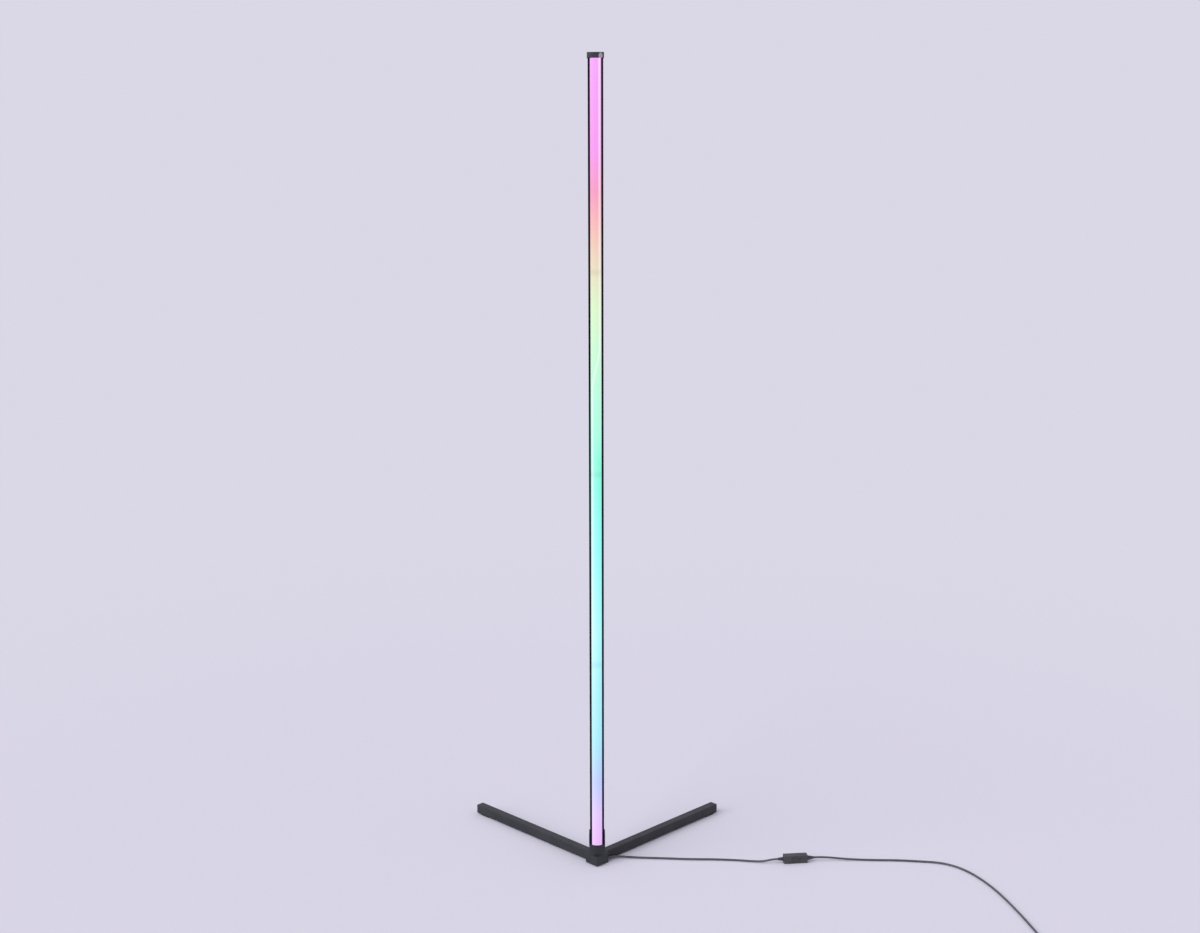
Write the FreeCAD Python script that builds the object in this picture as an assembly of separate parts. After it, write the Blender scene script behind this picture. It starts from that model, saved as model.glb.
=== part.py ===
import FreeCAD, Part
import math
import os

# Corner floor lamp: a slim light post in four sections on a V-shaped base, with a lead, an in-line
# control and a power plug. Millimetres. The origin is on the floor under the post, +Z is up, the
# light faces -Y and the legs run back and outwards along +Y.

V = FreeCAD.Vector
UP = V(0, 0, 1)
ALONG = V(1, 0, 0)
BACK = V(0, 1, 0)

# ---------------------------------------------------------------- driving dimensions

# fits
seat_gap = 0.3           # between pieces that slide or snap together
slip_gap = 0.2           # between a small piece and the pocket that holds it
thread_gap = 0.05        # radial, between a screw and its hole
floor_gap = 0.1          # under the lead

# lead
lead_radius = 1.8
wire_radius = 1.3        # the wire inside the base
wire_hole_radius = 2.4
wire_hole_y = -7.0

# post
section_count = 4
section_length = 338.0
seam_gap = 0.3           # between two sections
profile_width = 25.0
profile_depth = 21.0
profile_wall = 1.4
profile_radius = 0.9
lip_width = 3.5
web_front = -2.0         # the face that the light strip is stuck to

# diffuser
diffuser_wall = 1.2
diffuser_bulge = 3.0
diffuser_seam_gap = 0.6
clip_reach = 1.5
clip_thickness = 0.9

# light strip
strip_width = 10.0
strip_thickness = 0.8
strip_end_margin = 9.0
chip_size = 5.0
chip_height = 1.5
chip_well_depth = 0.4
chips_per_section = 20
contact_width = 6.0
contact_depth = 2.6
contact_length = 5.0

# joiners and screws of the post
joiner_length = 80.0
joiner_screw_from_seam = 22.0
insert_screw_height = 42.0
insert_end_margin = 20.0
post_screw_spacing = 13.0
post_screw_radius = 1.5
post_screw_length = 5.5
post_head_radius = 2.7
post_head_height = 1.6
post_head_round = 0.9
drive_depth = 0.9

# top cap
cap_height = 9.0
cap_overhang = 1.25
cap_roof = 2.5
cap_wall = 2.0
cap_edge_radius = 1.1
cap_rim_radius = 0.8
cap_screw_from_top = 9.0
cap_tongue_margin = 7.0
cap_tongue_wall = 2.2

# socket that holds the post
socket_wall = 1.5
socket_neck_height = 19.5
socket_neck_wall = 2.0
socket_floor = 3.0
socket_cheek_height = 19.8
socket_cheek_setback = 1.0    # behind the channel's front
socket_neck_setback = 2.0
socket_front_bulge = 5.7
socket_edge_radius = 2.2
socket_boss_radius = 3.2
socket_boss_height = 11.0
socket_screw_y = -1.0
socket_screw_radius = 1.5
socket_screw_head_radius = 2.7
socket_screw_head_height = 2.2
socket_screw_engagement = 6.5

# bolt that ties the post to the block
tie_bolt_radius = 2.5
tie_bolt_head_radius = 4.2
tie_bolt_head_height = 4.6
tie_bolt_engagement = 14.0

# legs
leg_width = 16.0
leg_height = 17.0
leg_wall = 2.0
leg_radius = 1.6
leg_bore_radius = 0.4
leg_reach = 320.0        # from the post's axis to the end of a leg, along the leg
leg_cap_plate = 2.2
leg_cap_edge_radius = 0.8
leg_cap_plug = 14.0
leg_cap_wall = 1.8
leg_screw_from_block = 8.0
leg_screw_spacing = 12.0
leg_screw_radius = 2.0
leg_screw_head_radius = 3.7
leg_screw_engagement = 9.0

# feet
foot_thickness = 1.5
foot_corner_radius = 2.0
front_foot_inset = 2.6   # from the block's side
leg_foot_inset = 1.5     # from the leg's side
leg_foot_length = 24.0
leg_foot_from_end = 8.0

# corner block
block_above_leg = 1.0
block_wall = 1.8
block_roof = 3.5
block_edge_radius = 1.2
block_cavity_radius = 0.5
block_boss_radius = 2.9
block_boss_inset = 5.2
cover_thickness = 2.0
cover_screw_radius = 1.2
cover_screw_head_radius = 2.3
cover_screw_engagement = 5.0

# grommet of the lead, beside the right leg
grommet_leg_gap = 0.4
grommet_neck_wall = 0.4
grommet_tip_wall = 0.25
grommet_nose = 5.0
grommet_flange_margin = 1.0
grommet_flange_thickness = 1.4

# in-line control
control_x = 356.9
control_y = -1.3
control_turn = 6.0       # degrees, about Z
control_length = 43.4
control_height = 15.0
control_depth = 13.0
control_wall = 1.5
control_edge_radius = 1.3
relief_hole_radius = 2.6
relief_flange_margin = 1.1
relief_flange_thickness = 1.5
relief_tip_wall = 0.5
lamp_relief_length = 10.4
lamp_relief_radius = 3.9
lamp_relief_ribs = 3
supply_relief_length = 11.5
supply_relief_radius = 4.8
button_length = 14.0
button_height = 7.0
button_corner_radius = 1.4
button_proud = 0.9
button_crown = 0.5
button_crown_inset = 0.4
button_travel = 0.8
button_flange = 1.0
button_flange_thickness = 0.8
board_setback = 0.6      # the board's front, behind the case's parting plane
board_thickness = 1.2
board_end_margin = 2.2
board_side_margin = 0.7
tact_side = 6.0
tact_height = 2.2
plunger_radius = 1.7
plunger_entry = 1.0
chip_length = 7.0
chip_breadth = 5.0
chip_thickness = 1.2
rib_spacing = 18.0
rib_thickness = 1.2
control_screw_radius = 0.95
control_screw_head_radius = 1.8
control_screw_head_height = 1.1
control_screw_length = 8.0
control_boss_wall = 1.05

# coil of the put-away length
coil_x = 696.0
coil_y = -338.0
coil_outer_radius = 27.0  # to the lead's centre line, where the coil begins
coil_turn_gap = 0.5
coil_turns_in = 3.25
coil_turns_out = 3.5
tie_angle = 160.0         # degrees, about the coil's centre
tie_width = 8.0
tie_thickness = 0.8
tie_gap = 0.5
tie_tail = 8.0

# power plug
plug_turn = 38.0          # degrees, from the way the lead leaves the coil
grip_length = 24.0
grip_width = 15.0
grip_height = 8.0
grip_side_radius = 1.5
grip_end_radius = 1.0
grip_relief_length = 9.0
grip_relief_radius = 2.9
shell_length = 19.0
shell_width = 12.0
shell_height = 4.5
shell_wall = 0.3
shell_radius = 0.5
tongue_thickness = 1.9
tongue_setback = 0.95
bar_pitch = 2.3
bar_count = 4
bar_width = 1.2
bar_thickness = 0.2
bar_length = 8.0
bar_setback = 1.5

# ---------------------------------------------------------------- sizes that follow from them

grommet_neck_radius = lead_radius + grommet_neck_wall
grommet_offset = leg_width / 2 + grommet_leg_gap + grommet_neck_radius
block_side = 2 * (grommet_offset + grommet_neck_radius + slip_gap + block_wall)
block_height = leg_height + block_above_leg
block_bottom = foot_thickness
block_top = block_bottom + block_height
block_ceiling = block_top - block_roof
cavity_side = block_side - 2 * block_wall
cover_top = block_bottom + cover_thickness
grommet_height = cover_top + seat_gap + grommet_neck_radius
leg_middle = foot_thickness + leg_height / 2
spigot_length = 2 * leg_screw_from_block + leg_screw_spacing

post_bottom = block_top + socket_neck_height
post_top = post_bottom + section_count * section_length
post_front = -profile_depth / 2
post_back = profile_depth / 2
lip_back = post_front + profile_wall
slot_half = profile_width / 2 - lip_width
chamber_half = profile_width / 2 - profile_wall
chamber_front = web_front + profile_wall
chamber_back = post_back - profile_wall
chamber_middle = (chamber_front + chamber_back) / 2
wire_riser_y = web_front - contact_depth - slip_gap - wire_radius + 0.5

socket_half = profile_width / 2 + seat_gap + socket_wall
socket_back = post_back + seat_gap + socket_wall
socket_screw_x = socket_half - socket_neck_wall - 0.9 * socket_boss_radius

lead_on_floor = lead_radius + floor_gap
control_half = control_length / 2
control_face = control_depth / 2
control_boss_radius = control_screw_radius + control_boss_wall
relief_tip_radius = lead_radius + relief_tip_wall
board_rest = board_setback + board_thickness
tact_front = board_setback - tact_height
coil_pitch = 2 * lead_radius + coil_turn_gap
coil_bottom = tie_thickness + tie_gap + lead_radius

LEG_SIDES = {"left": -1, "right": 1}


# ---------------------------------------------------------------- helpers

def box(x0, x1, y0, y1, z0, z1):
    return Part.makeBox(x1 - x0, y1 - y0, z1 - z0, V(x0, y0, z0))


def rod(radius, start, direction, length):
    return Part.makeCylinder(radius, length, start, direction)


def cone(radius_start, radius_end, start, direction, length):
    return Part.makeCone(radius_start, radius_end, length, start, direction)


def runs_along(edge, direction):
    span = edge.Vertexes[-1].Point - edge.Vertexes[0].Point
    return span.Length > 1e-6 and span.cross(direction).Length < 1e-6


def round_edges(solid, radius, wanted):
    """Rounds the edges that wanted says yes to."""
    return solid.makeFillet(radius, [edge for edge in solid.Edges if wanted(edge)])


def round_along(solid, radius, direction):
    return round_edges(solid, radius, lambda edge: runs_along(edge, direction))


def upright_bar(width, depth, radius, z0, z1):
    """A bar about the Z axis with rounded upright edges."""
    bar = box(-width / 2, width / 2, -depth / 2, depth / 2, z0, z1)
    return round_along(bar, radius, UP)


def lying_bar(x0, x1, width, height, radius):
    """A bar about the X axis with rounded long edges."""
    bar = box(x0, x1, -width / 2, width / 2, -height / 2, height / 2)
    return round_along(bar, radius, ALONG)


def bow_front(half_width, side_front, apex, back, z0, z1):
    """An upright solid with a flat back and sides and a shallow arc for its front."""
    corners = [V(half_width, side_front, z0), V(half_width, back, z0),
               V(-half_width, back, z0), V(-half_width, side_front, z0)]
    edges = [Part.LineSegment(a, b).toShape() for a, b in zip(corners, corners[1:])]
    edges.append(Part.Arc(corners[3], V(0, apex, z0), corners[0]).toShape())
    return Part.Face(Part.Wire(edges)).extrude(V(0, 0, z1 - z0))


def placed(shape, placement):
    moved = shape.copy()
    moved.Placement = placement.multiply(moved.Placement)
    return moved


def placed_along(shape, origin, direction):
    """Moves a shape made along +X so that it starts at origin and runs along direction."""
    return placed(shape, FreeCAD.Placement(origin, FreeCAD.Rotation(ALONG, direction)))


def arc_by_corner(start, corner, end):
    """The arc that leaves start towards corner and reaches end, tangent to both legs."""
    middle = (start + end) * 0.5
    cos_half = (end - start).Length / (2 * (corner - start).Length)
    crown = middle + (corner - middle) * (cos_half / (1 + cos_half))
    return Part.Arc(start, crown, end).toShape()


def arc_radius(start, corner, end):
    half_chord = (end - start).Length / 2
    leg = (corner - start).Length
    return leg * half_chord / math.sqrt(leg * leg - half_chord * half_chord)


def tube_along(name, edges, radius, start, direction):
    """A round tube along a path, with its volume told against its section times its length."""
    path = Part.Wire(edges)
    ring = Part.Wire(Part.makeCircle(radius, start, direction))
    tube = path.makePipeShell([ring], True, False)
    share = tube.Volume / (math.pi * radius * radius * path.Length)
    print("%s: length %.1f, volume over section x length %.4f" % (name, path.Length, share))
    return tube, path


def route_tube(name, points, radius):
    """A tube along straight runs joined by tangent arcs, each as large as its runs allow."""
    edges = []
    radii = []
    reached = points[0]
    for before, corner, after in zip(points, points[1:], points[2:]):
        leg = 0.45 * min((corner - before).Length, (after - corner).Length)
        arc_start = corner + (before - corner).normalize() * leg
        arc_end = corner + (after - corner).normalize() * leg
        edges.append(Part.LineSegment(reached, arc_start).toShape())
        edges.append(arc_by_corner(arc_start, corner, arc_end))
        radii.append(arc_radius(arc_start, corner, arc_end))
        reached = arc_end
    edges.append(Part.LineSegment(reached, points[-1]).toShape())
    tube = tube_along(name, edges, radius, points[0], points[1] - points[0])[0]
    print("  bend radii", " ".join("%.0f" % value for value in radii))
    return tube


def export(name, *solids):
    shape = solids[0] if len(solids) == 1 else Part.makeCompound(solids)
    shape.exportStep("parts/%s.step" % name)
    if not shape.isValid():
        print("not valid:", name)


# ---------------------------------------------------------------- post

def channel(z0, z1):
    """The aluminium channel: side walls, front lips, a web and a rear chamber."""
    outer = upright_bar(profile_width, profile_depth, profile_radius, z0, z1)
    light_chamber = box(-chamber_half, chamber_half, lip_back, web_front, z0, z1)
    slot = box(-slot_half, slot_half, post_front - 1, lip_back, z0, z1)
    rear_chamber = box(-chamber_half, chamber_half, chamber_front, chamber_back, z0, z1)
    return outer.cut([light_chamber, slot, rear_chamber])


def screw_points(height):
    half = post_screw_spacing / 2
    return [V(-half, post_back, height), V(half, post_back, height)]


def screw_holes(height, radius):
    depth = post_screw_length + 1
    return [rod(radius, point + BACK, -BACK, depth + 1) for point in screw_points(height)]


def post_screw(point):
    head = rod(post_head_radius, point, BACK, post_head_height)
    outer_rim = point.y + post_head_height - 0.01
    head = round_edges(head, post_head_round, lambda edge: edge.CenterOfMass.y > outer_rim)
    shank = rod(post_screw_radius, point, -BACK, post_screw_length)
    drive = rod(0.6 * post_screw_radius, point + BACK * (post_head_height - drive_depth), BACK, drive_depth)
    return head.fuse(shank).cut(drive)


def diffuser_section(z0, z1):
    """A convex strip with clips behind the channel's lips."""
    half = slot_half - slip_gap
    inner_half = half - diffuser_wall
    clip_back = lip_back + clip_thickness
    right = [V(half, post_front, z0), V(half, lip_back, z0), V(half + clip_reach, lip_back, z0),
             V(half + clip_reach, clip_back, z0), V(inner_half, clip_back, z0),
             V(inner_half, post_front, z0)]
    left = [V(-point.x, point.y, z0) for point in reversed(right)]
    apex = V(0, post_front - diffuser_bulge, z0)
    edges = [Part.LineSegment(a, b).toShape() for a, b in zip(right, right[1:])]
    edges.append(Part.Arc(right[-1], apex + BACK * diffuser_wall, left[0]).toShape())
    edges += [Part.LineSegment(a, b).toShape() for a, b in zip(left, left[1:])]
    edges.append(Part.Arc(left[-1], apex, right[0]).toShape())
    return Part.Face(Part.Wire(edges)).extrude(V(0, 0, z1 - z0))


def chip_row(z0, z1):
    """The light emitters of one strip, evenly spaced, each with a shallow round well."""
    face = web_front - strip_thickness
    pitch = (z1 - z0) / chips_per_section
    half = chip_size / 2
    chips = []
    for index in range(chips_per_section):
        middle = z0 + (index + 0.5) * pitch
        chip = box(-half, half, face - chip_height, face, middle - half, middle + half)
        well = rod(0.8 * half, V(0, face - chip_height, middle), BACK, chip_well_depth)
        chips.append(chip.cut(well))
    return chips


def bar_in_chamber(z0, z1):
    """A bar that fills the channel's rear chamber and bears on its back wall."""
    half = chamber_half - seat_gap
    return box(-half, half, chamber_front + seat_gap, chamber_back, z0, z1)


def strip_contact(z0, z1):
    """A contact block on the web, at the end of a light strip."""
    half = contact_width / 2
    return box(-half, half, web_front - contact_depth, web_front, z0, z1)


def build_post():
    seams = [post_bottom + number * section_length for number in range(1, section_count)]
    screw_heights = [post_bottom + insert_screw_height, post_top - cap_screw_from_top]
    for seam in seams:
        screw_heights += [seam - joiner_screw_from_seam, seam + joiner_screw_from_seam]
    clear_holes = [hole for height in screw_heights
                   for hole in screw_holes(height, post_screw_radius + slip_gap)]
    for number in range(1, section_count + 1):
        low = post_bottom + (number - 1) * section_length
        last = number == section_count
        high = low + section_length - (0 if last else seam_gap)
        diffuser_high = low + section_length - (0 if last else diffuser_seam_gap)
        strip_low = low + strip_end_margin
        strip_high = high - strip_end_margin
        half = strip_width / 2
        strip = box(-half, half, web_front - strip_thickness, web_front, strip_low, strip_high)
        export("post_section_%d" % number, channel(low, high).cut(clear_holes))
        export("diffuser_%d" % number, diffuser_section(low, diffuser_high))
        export("led_strip_%d" % number, strip)
        export("led_chips_%d" % number, *chip_row(strip_low, strip_high))
    for number, seam in enumerate(seams, 1):
        joiner = bar_in_chamber(seam - joiner_length / 2, seam + joiner_length / 2)
        for height in (seam - joiner_screw_from_seam, seam + joiner_screw_from_seam):
            joiner = joiner.cut(screw_holes(height, post_screw_radius + thread_gap))
        export("joiner_%d" % number, joiner)
    strip_ends = [seam - seam_gap - strip_end_margin for seam in seams]
    meetings = [end + contact_length for end in strip_ends]
    export("strip_plugs", *[strip_contact(end, meeting) for end, meeting in zip(strip_ends, meetings)])
    export("strip_sockets", *[strip_contact(meeting, seam + strip_end_margin)
                              for meeting, seam in zip(meetings, seams)])
    export("post_screws", *[post_screw(point) for height in screw_heights
                            for point in screw_points(height)])


def build_base_insert():
    insert = bar_in_chamber(post_bottom, post_bottom + insert_screw_height + insert_end_margin)
    bore = rod(tie_bolt_radius + thread_gap, tie_point(post_bottom), UP, tie_bolt_engagement + 4)
    holes = screw_holes(post_bottom + insert_screw_height, post_screw_radius + thread_gap)
    export("base_insert", insert.cut([bore] + holes))


def build_top_cap():
    half = profile_width / 2 + cap_overhang
    back = post_back + cap_overhang
    apex = post_front - diffuser_bulge - cap_overhang / 2
    top = post_top + cap_height
    cap = bow_front(half, post_front, apex, back, post_top, top)
    cap = round_along(cap, cap_edge_radius, UP)
    cap = round_edges(cap, cap_rim_radius,
                      lambda edge: min(edge.CenterOfMass.z - post_top, top - edge.CenterOfMass.z) < 1e-3)
    room = bow_front(half - cap_wall, post_front + cap_wall, apex + cap_wall, back - cap_wall,
                     post_top + profile_wall, top - cap_roof)
    cap = cap.cut(room)
    bar = bar_in_chamber(post_top - cap_screw_from_top - cap_tongue_margin, post_top + profile_wall)
    edge = bar.BoundBox
    hollow = box(edge.XMin + cap_tongue_wall, edge.XMax - cap_tongue_wall, edge.YMin + cap_tongue_wall,
                 edge.YMax - 2 * cap_tongue_wall, edge.ZMin, edge.ZMax)
    tongue = bar.cut(hollow)
    holes = screw_holes(post_top - cap_screw_from_top, post_screw_radius + thread_gap)
    export("top_cap", cap.fuse(tongue).cut(holes).removeSplitter())


# ---------------------------------------------------------------- base

def turned(shape):
    """Turns a shape by 45 degrees about the post's axis, as the corner block stands."""
    return placed(shape, FreeCAD.Placement(V(0, 0, 0), FreeCAD.Rotation(UP, 45)))


def leg_direction(side):
    return V(side * math.sqrt(0.5), math.sqrt(0.5), 0)


def leg_point(side, distance, height):
    return leg_direction(side) * distance + UP * height


def leg_screw_points(side):
    first = block_side / 2 + leg_screw_from_block
    return [leg_point(side, first, foot_thickness),
            leg_point(side, first + leg_screw_spacing, foot_thickness)]


def tie_point(height):
    return V(0, chamber_middle, height)


def socket_screw_point(side, height):
    return V(side * socket_screw_x, socket_screw_y, height)


def cover_screw_point(side, height):
    return V(0, side * (block_side / 2 - block_boss_inset) * math.sqrt(2), height)


def grommet_point(distance):
    """A point on the lead's axis beside the right leg."""
    outward = V(math.sqrt(0.5), -math.sqrt(0.5), 0)
    return leg_point(1, distance, grommet_height) + outward * grommet_offset


def spigot(side):
    """The bar of the block that a leg is pushed onto."""
    width = leg_width - 2 * leg_wall - 2 * seat_gap
    height = leg_height - 2 * leg_wall - 2 * seat_gap
    bar = box(0, block_wall + spigot_length, -width / 2, width / 2, -height / 2, height / 2)
    bar = placed_along(bar, leg_point(side, cavity_side / 2, leg_middle), leg_direction(side))
    depth = leg_wall + leg_screw_engagement + 1
    return bar.cut([rod(leg_screw_radius + thread_gap, point, UP, depth)
                    for point in leg_screw_points(side)])


def build_corner_block():
    block = turned(upright_bar(block_side, block_side, block_edge_radius, block_bottom, block_top))
    cavity = upright_bar(cavity_side, cavity_side, block_cavity_radius, block_bottom, block_ceiling)
    block = block.cut(turned(cavity))
    bosses = [rod(block_boss_radius, cover_screw_point(side, cover_top), UP, block_ceiling - cover_top)
              for side in (-1, 1)]
    block = block.fuse(bosses + [spigot(side) for side in LEG_SIDES.values()])
    holes = [rod(cover_screw_radius + thread_gap, cover_screw_point(side, cover_top), UP,
                 cover_screw_engagement + 1) for side in (-1, 1)]
    holes += [rod(socket_screw_radius + slip_gap, socket_screw_point(side, block_ceiling), UP, block_roof)
              for side in (-1, 1)]
    holes.append(rod(tie_bolt_radius + slip_gap, tie_point(block_ceiling), UP, block_roof))
    holes.append(rod(wire_hole_radius, V(0, wire_hole_y, block_ceiling), UP, block_roof))
    holes.append(rod(grommet_neck_radius + thread_gap, grommet_point(cavity_side / 2 - 0.5),
                     leg_direction(1), block_wall + 1))
    export("corner_block", block.cut(holes).removeSplitter())


def build_block_cover():
    side = cavity_side - 2 * slip_gap
    cover = turned(upright_bar(side, side, block_cavity_radius, block_bottom, cover_top))
    bottoms = [cover_screw_point(sign, block_bottom) for sign in (-1, 1)]
    sinks = [cone(cover_screw_head_radius + slip_gap, cover_screw_radius + slip_gap, bottom, UP,
                  cover_thickness) for bottom in bottoms]
    screws = []
    for bottom in bottoms:
        head = cone(cover_screw_head_radius, cover_screw_radius, bottom, UP, cover_thickness)
        shank = rod(cover_screw_radius, bottom, UP, cover_thickness + cover_screw_engagement)
        screws.append(head.fuse(shank).removeSplitter())
    export("block_cover", cover.cut(sinks))
    export("cover_screws", *screws)


def leg_cap():
    """The end plug of a leg, made along +X from the tube's end."""
    plate = lying_bar(0, leg_cap_plate, leg_width, leg_height, leg_radius)
    plate = round_edges(plate, leg_cap_edge_radius,
                        lambda edge: edge.CenterOfMass.x > leg_cap_plate - 1e-3)
    plug_width = leg_width - 2 * leg_wall - 2 * slip_gap
    plug_height = leg_height - 2 * leg_wall - 2 * slip_gap
    plug = lying_bar(-leg_cap_plug, 0, plug_width, plug_height, leg_bore_radius)
    hollow = lying_bar(-leg_cap_plug, -leg_cap_wall, plug_width - 2 * leg_cap_wall,
                       plug_height - 2 * leg_cap_wall, leg_bore_radius)
    return plate.fuse(plug.cut(hollow)).removeSplitter()


def build_legs():
    tube_end = leg_reach - leg_cap_plate
    length = tube_end - block_side / 2
    bore = lying_bar(0, length, leg_width - 2 * leg_wall, leg_height - 2 * leg_wall, leg_bore_radius)
    tube = lying_bar(0, length, leg_width, leg_height, leg_radius).cut(bore)
    foot_half = leg_width / 2 - leg_foot_inset
    pad = box(0, leg_foot_length, -foot_half, foot_half, 0, foot_thickness)
    pad = round_along(pad, foot_corner_radius, UP)
    screws = []
    for name, side in LEG_SIDES.items():
        direction = leg_direction(side)
        leg = placed_along(tube, leg_point(side, block_side / 2, leg_middle), direction)
        for point in leg_screw_points(side):
            sink = cone(leg_screw_head_radius + seat_gap, leg_screw_radius + seat_gap, point, UP, leg_wall)
            head = cone(leg_screw_head_radius, leg_screw_radius, point, UP, leg_wall)
            shank = rod(leg_screw_radius, point, UP, leg_wall + leg_screw_engagement)
            leg = leg.cut(sink)
            screws.append(head.fuse(shank).removeSplitter())
        pad_start = leg_point(side, leg_reach - leg_foot_from_end - leg_foot_length, 0)
        export("leg_%s" % name, leg)
        export("leg_cap_%s" % name, placed_along(leg_cap(), leg_point(side, tube_end, leg_middle), direction))
        export("foot_%s" % name, placed_along(pad, pad_start, direction))
    export("leg_screws", *screws)
    front_side = block_side - 2 * front_foot_inset
    export("foot_front", turned(upright_bar(front_side, front_side, foot_corner_radius, 0, foot_thickness)))


def build_post_socket():
    """A hollow neck on the block, with cheeks round the foot of the post."""
    neck_front = post_front + socket_neck_setback
    cheek_front = post_front + socket_cheek_setback
    apex = neck_front - socket_front_bulge
    cheek_top = post_bottom + socket_cheek_height
    neck = bow_front(socket_half, neck_front, apex, socket_back, block_top, post_bottom)
    cheeks = box(-socket_half, socket_half, cheek_front, socket_back, post_bottom, cheek_top)
    cheeks = round_edges(cheeks, socket_edge_radius,
                         lambda edge: runs_along(edge, ALONG) and edge.CenterOfMass.z > cheek_top - 1e-3
                         and edge.CenterOfMass.y < 0)
    socket = neck.fuse(cheeks).removeSplitter()
    socket = round_edges(socket, socket_edge_radius,
                         lambda edge: runs_along(edge, UP) and edge.CenterOfMass.y > 0)
    pocket_half = profile_width / 2 + seat_gap
    pocket = box(-pocket_half, pocket_half, cheek_front - 1, post_back + seat_gap, post_bottom, cheek_top)
    room = bow_front(socket_half - socket_neck_wall, neck_front, apex + socket_neck_wall,
                     socket_back - socket_neck_wall, block_top, post_bottom - socket_floor)
    socket = socket.cut([pocket, room])
    bosses = [rod(socket_boss_radius, socket_screw_point(side, block_top), UP, socket_boss_height)
              for side in (-1, 1)]
    holes = [rod(socket_screw_radius + thread_gap, socket_screw_point(side, block_top), UP,
                 socket_screw_engagement + 1) for side in (-1, 1)]
    floor_bottom = post_bottom - socket_floor
    holes.append(rod(tie_bolt_radius + slip_gap, tie_point(floor_bottom), UP, socket_floor))
    holes.append(rod(wire_hole_radius, V(0, wire_riser_y, floor_bottom), UP, socket_floor))
    export("post_socket", socket.fuse(bosses).cut(holes).removeSplitter())


def hanging_screw(seat, radius, length, head_radius, head_height):
    """A round-headed screw whose head is under its seat and whose shank runs up."""
    head = rod(head_radius, seat, -UP, head_height)
    shank = rod(radius, seat, UP, length)
    drive = rod(0.5 * head_radius, seat - UP * head_height, UP, drive_depth)
    return head.fuse(shank).cut(drive)


def build_base_screws():
    length = block_roof + socket_screw_engagement
    screws = [hanging_screw(socket_screw_point(side, block_ceiling), socket_screw_radius, length,
                            socket_screw_head_radius, socket_screw_head_height) for side in (-1, 1)]
    export("socket_screws", *screws)
    length = block_roof + socket_neck_height + tie_bolt_engagement
    export("tie_bolt", hanging_screw(tie_point(block_ceiling), tie_bolt_radius, length,
                                     tie_bolt_head_radius, tie_bolt_head_height))


def build_grommet():
    """The moulded sleeve that holds the lead in the block's wall."""
    outside = grommet_neck_radius + grommet_flange_margin
    inner_face = cavity_side / 2 - grommet_flange_thickness
    flange = box(0, grommet_flange_thickness, -lead_radius, outside, -grommet_neck_radius, outside)
    flange = placed_along(flange, grommet_point(inner_face), leg_direction(1))
    neck = rod(grommet_neck_radius, grommet_point(cavity_side / 2), leg_direction(1), block_wall)
    nose = cone(grommet_neck_radius, lead_radius + grommet_tip_wall, grommet_point(block_side / 2),
                leg_direction(1), grommet_nose)
    export("cord_grommet", flange.fuse([neck, nose]).removeSplitter())
    return grommet_point(inner_face)


def build_lead_wire(start):
    """The wire inside the base, from the grommet up to the first light strip."""
    plug_low = post_bottom + seat_gap
    points = [start,
              start - leg_direction(1) * 6.5,
              V(3.4, wire_hole_y - 1.6, grommet_height + 2.4),
              V(0.3, wire_hole_y - 0.1, block_ceiling - 1.5),
              V(0.1, wire_hole_y + 0.3, block_top + 4.5),
              V(0, wire_riser_y, post_bottom - 8.0),
              V(0, wire_riser_y, plug_low)]
    export("lead_wire", route_tube("lead_wire", points, wire_radius))
    half = contact_width / 2
    export("lead_plug", box(-half, half, wire_riser_y - wire_radius - slip_gap, web_front, plug_low,
                            post_bottom + strip_end_margin))


# ---------------------------------------------------------------- in-line control
# Its own axes: X along the lead, Y into the case from the button, Z up.

def control_place():
    return FreeCAD.Placement(V(control_x, control_y, control_height / 2), FreeCAD.Rotation(UP, control_turn))


def control_point(distance):
    """A point on the control's axis."""
    return control_place().multVec(ALONG * distance)


def export_in_control(name, *solids):
    export(name, *[placed(solid, control_place()) for solid in solids])


def case_half(side):
    """One half of the case: side -1 has the button, side 1 is behind it."""
    half_height = control_height / 2
    faces = sorted((0, side * control_face))
    shell = box(-control_half, control_half, faces[0], faces[1], -half_height, half_height)

    def outer(edge):
        point = edge.CenterOfMass
        on_face = abs(point.y - side * control_face) < 1e-3
        on_corner = abs(abs(point.x) - control_half) < 1e-3 and abs(abs(point.z) - half_height) < 1e-3
        return on_face or on_corner
    shell = round_edges(shell, control_edge_radius, outer)
    inner = sorted((0, side * (control_face - control_wall)))
    room = box(-control_half + control_wall, control_half - control_wall, inner[0], inner[1],
               -half_height + control_wall, half_height - control_wall)
    lead_way = rod(relief_hole_radius, V(-control_half, 0, 0), ALONG, control_length)
    return shell.cut([room, lead_way])


def case_screw_places():
    """The two screws stand in opposite corners of the case, inside the reliefs' flanges."""
    reach = control_half - control_wall - relief_flange_thickness - seat_gap - control_boss_radius
    rise = control_height / 2 - control_wall - control_boss_radius - slip_gap
    return [V(-reach, 0, rise), V(reach, 0, -rise)]


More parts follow.
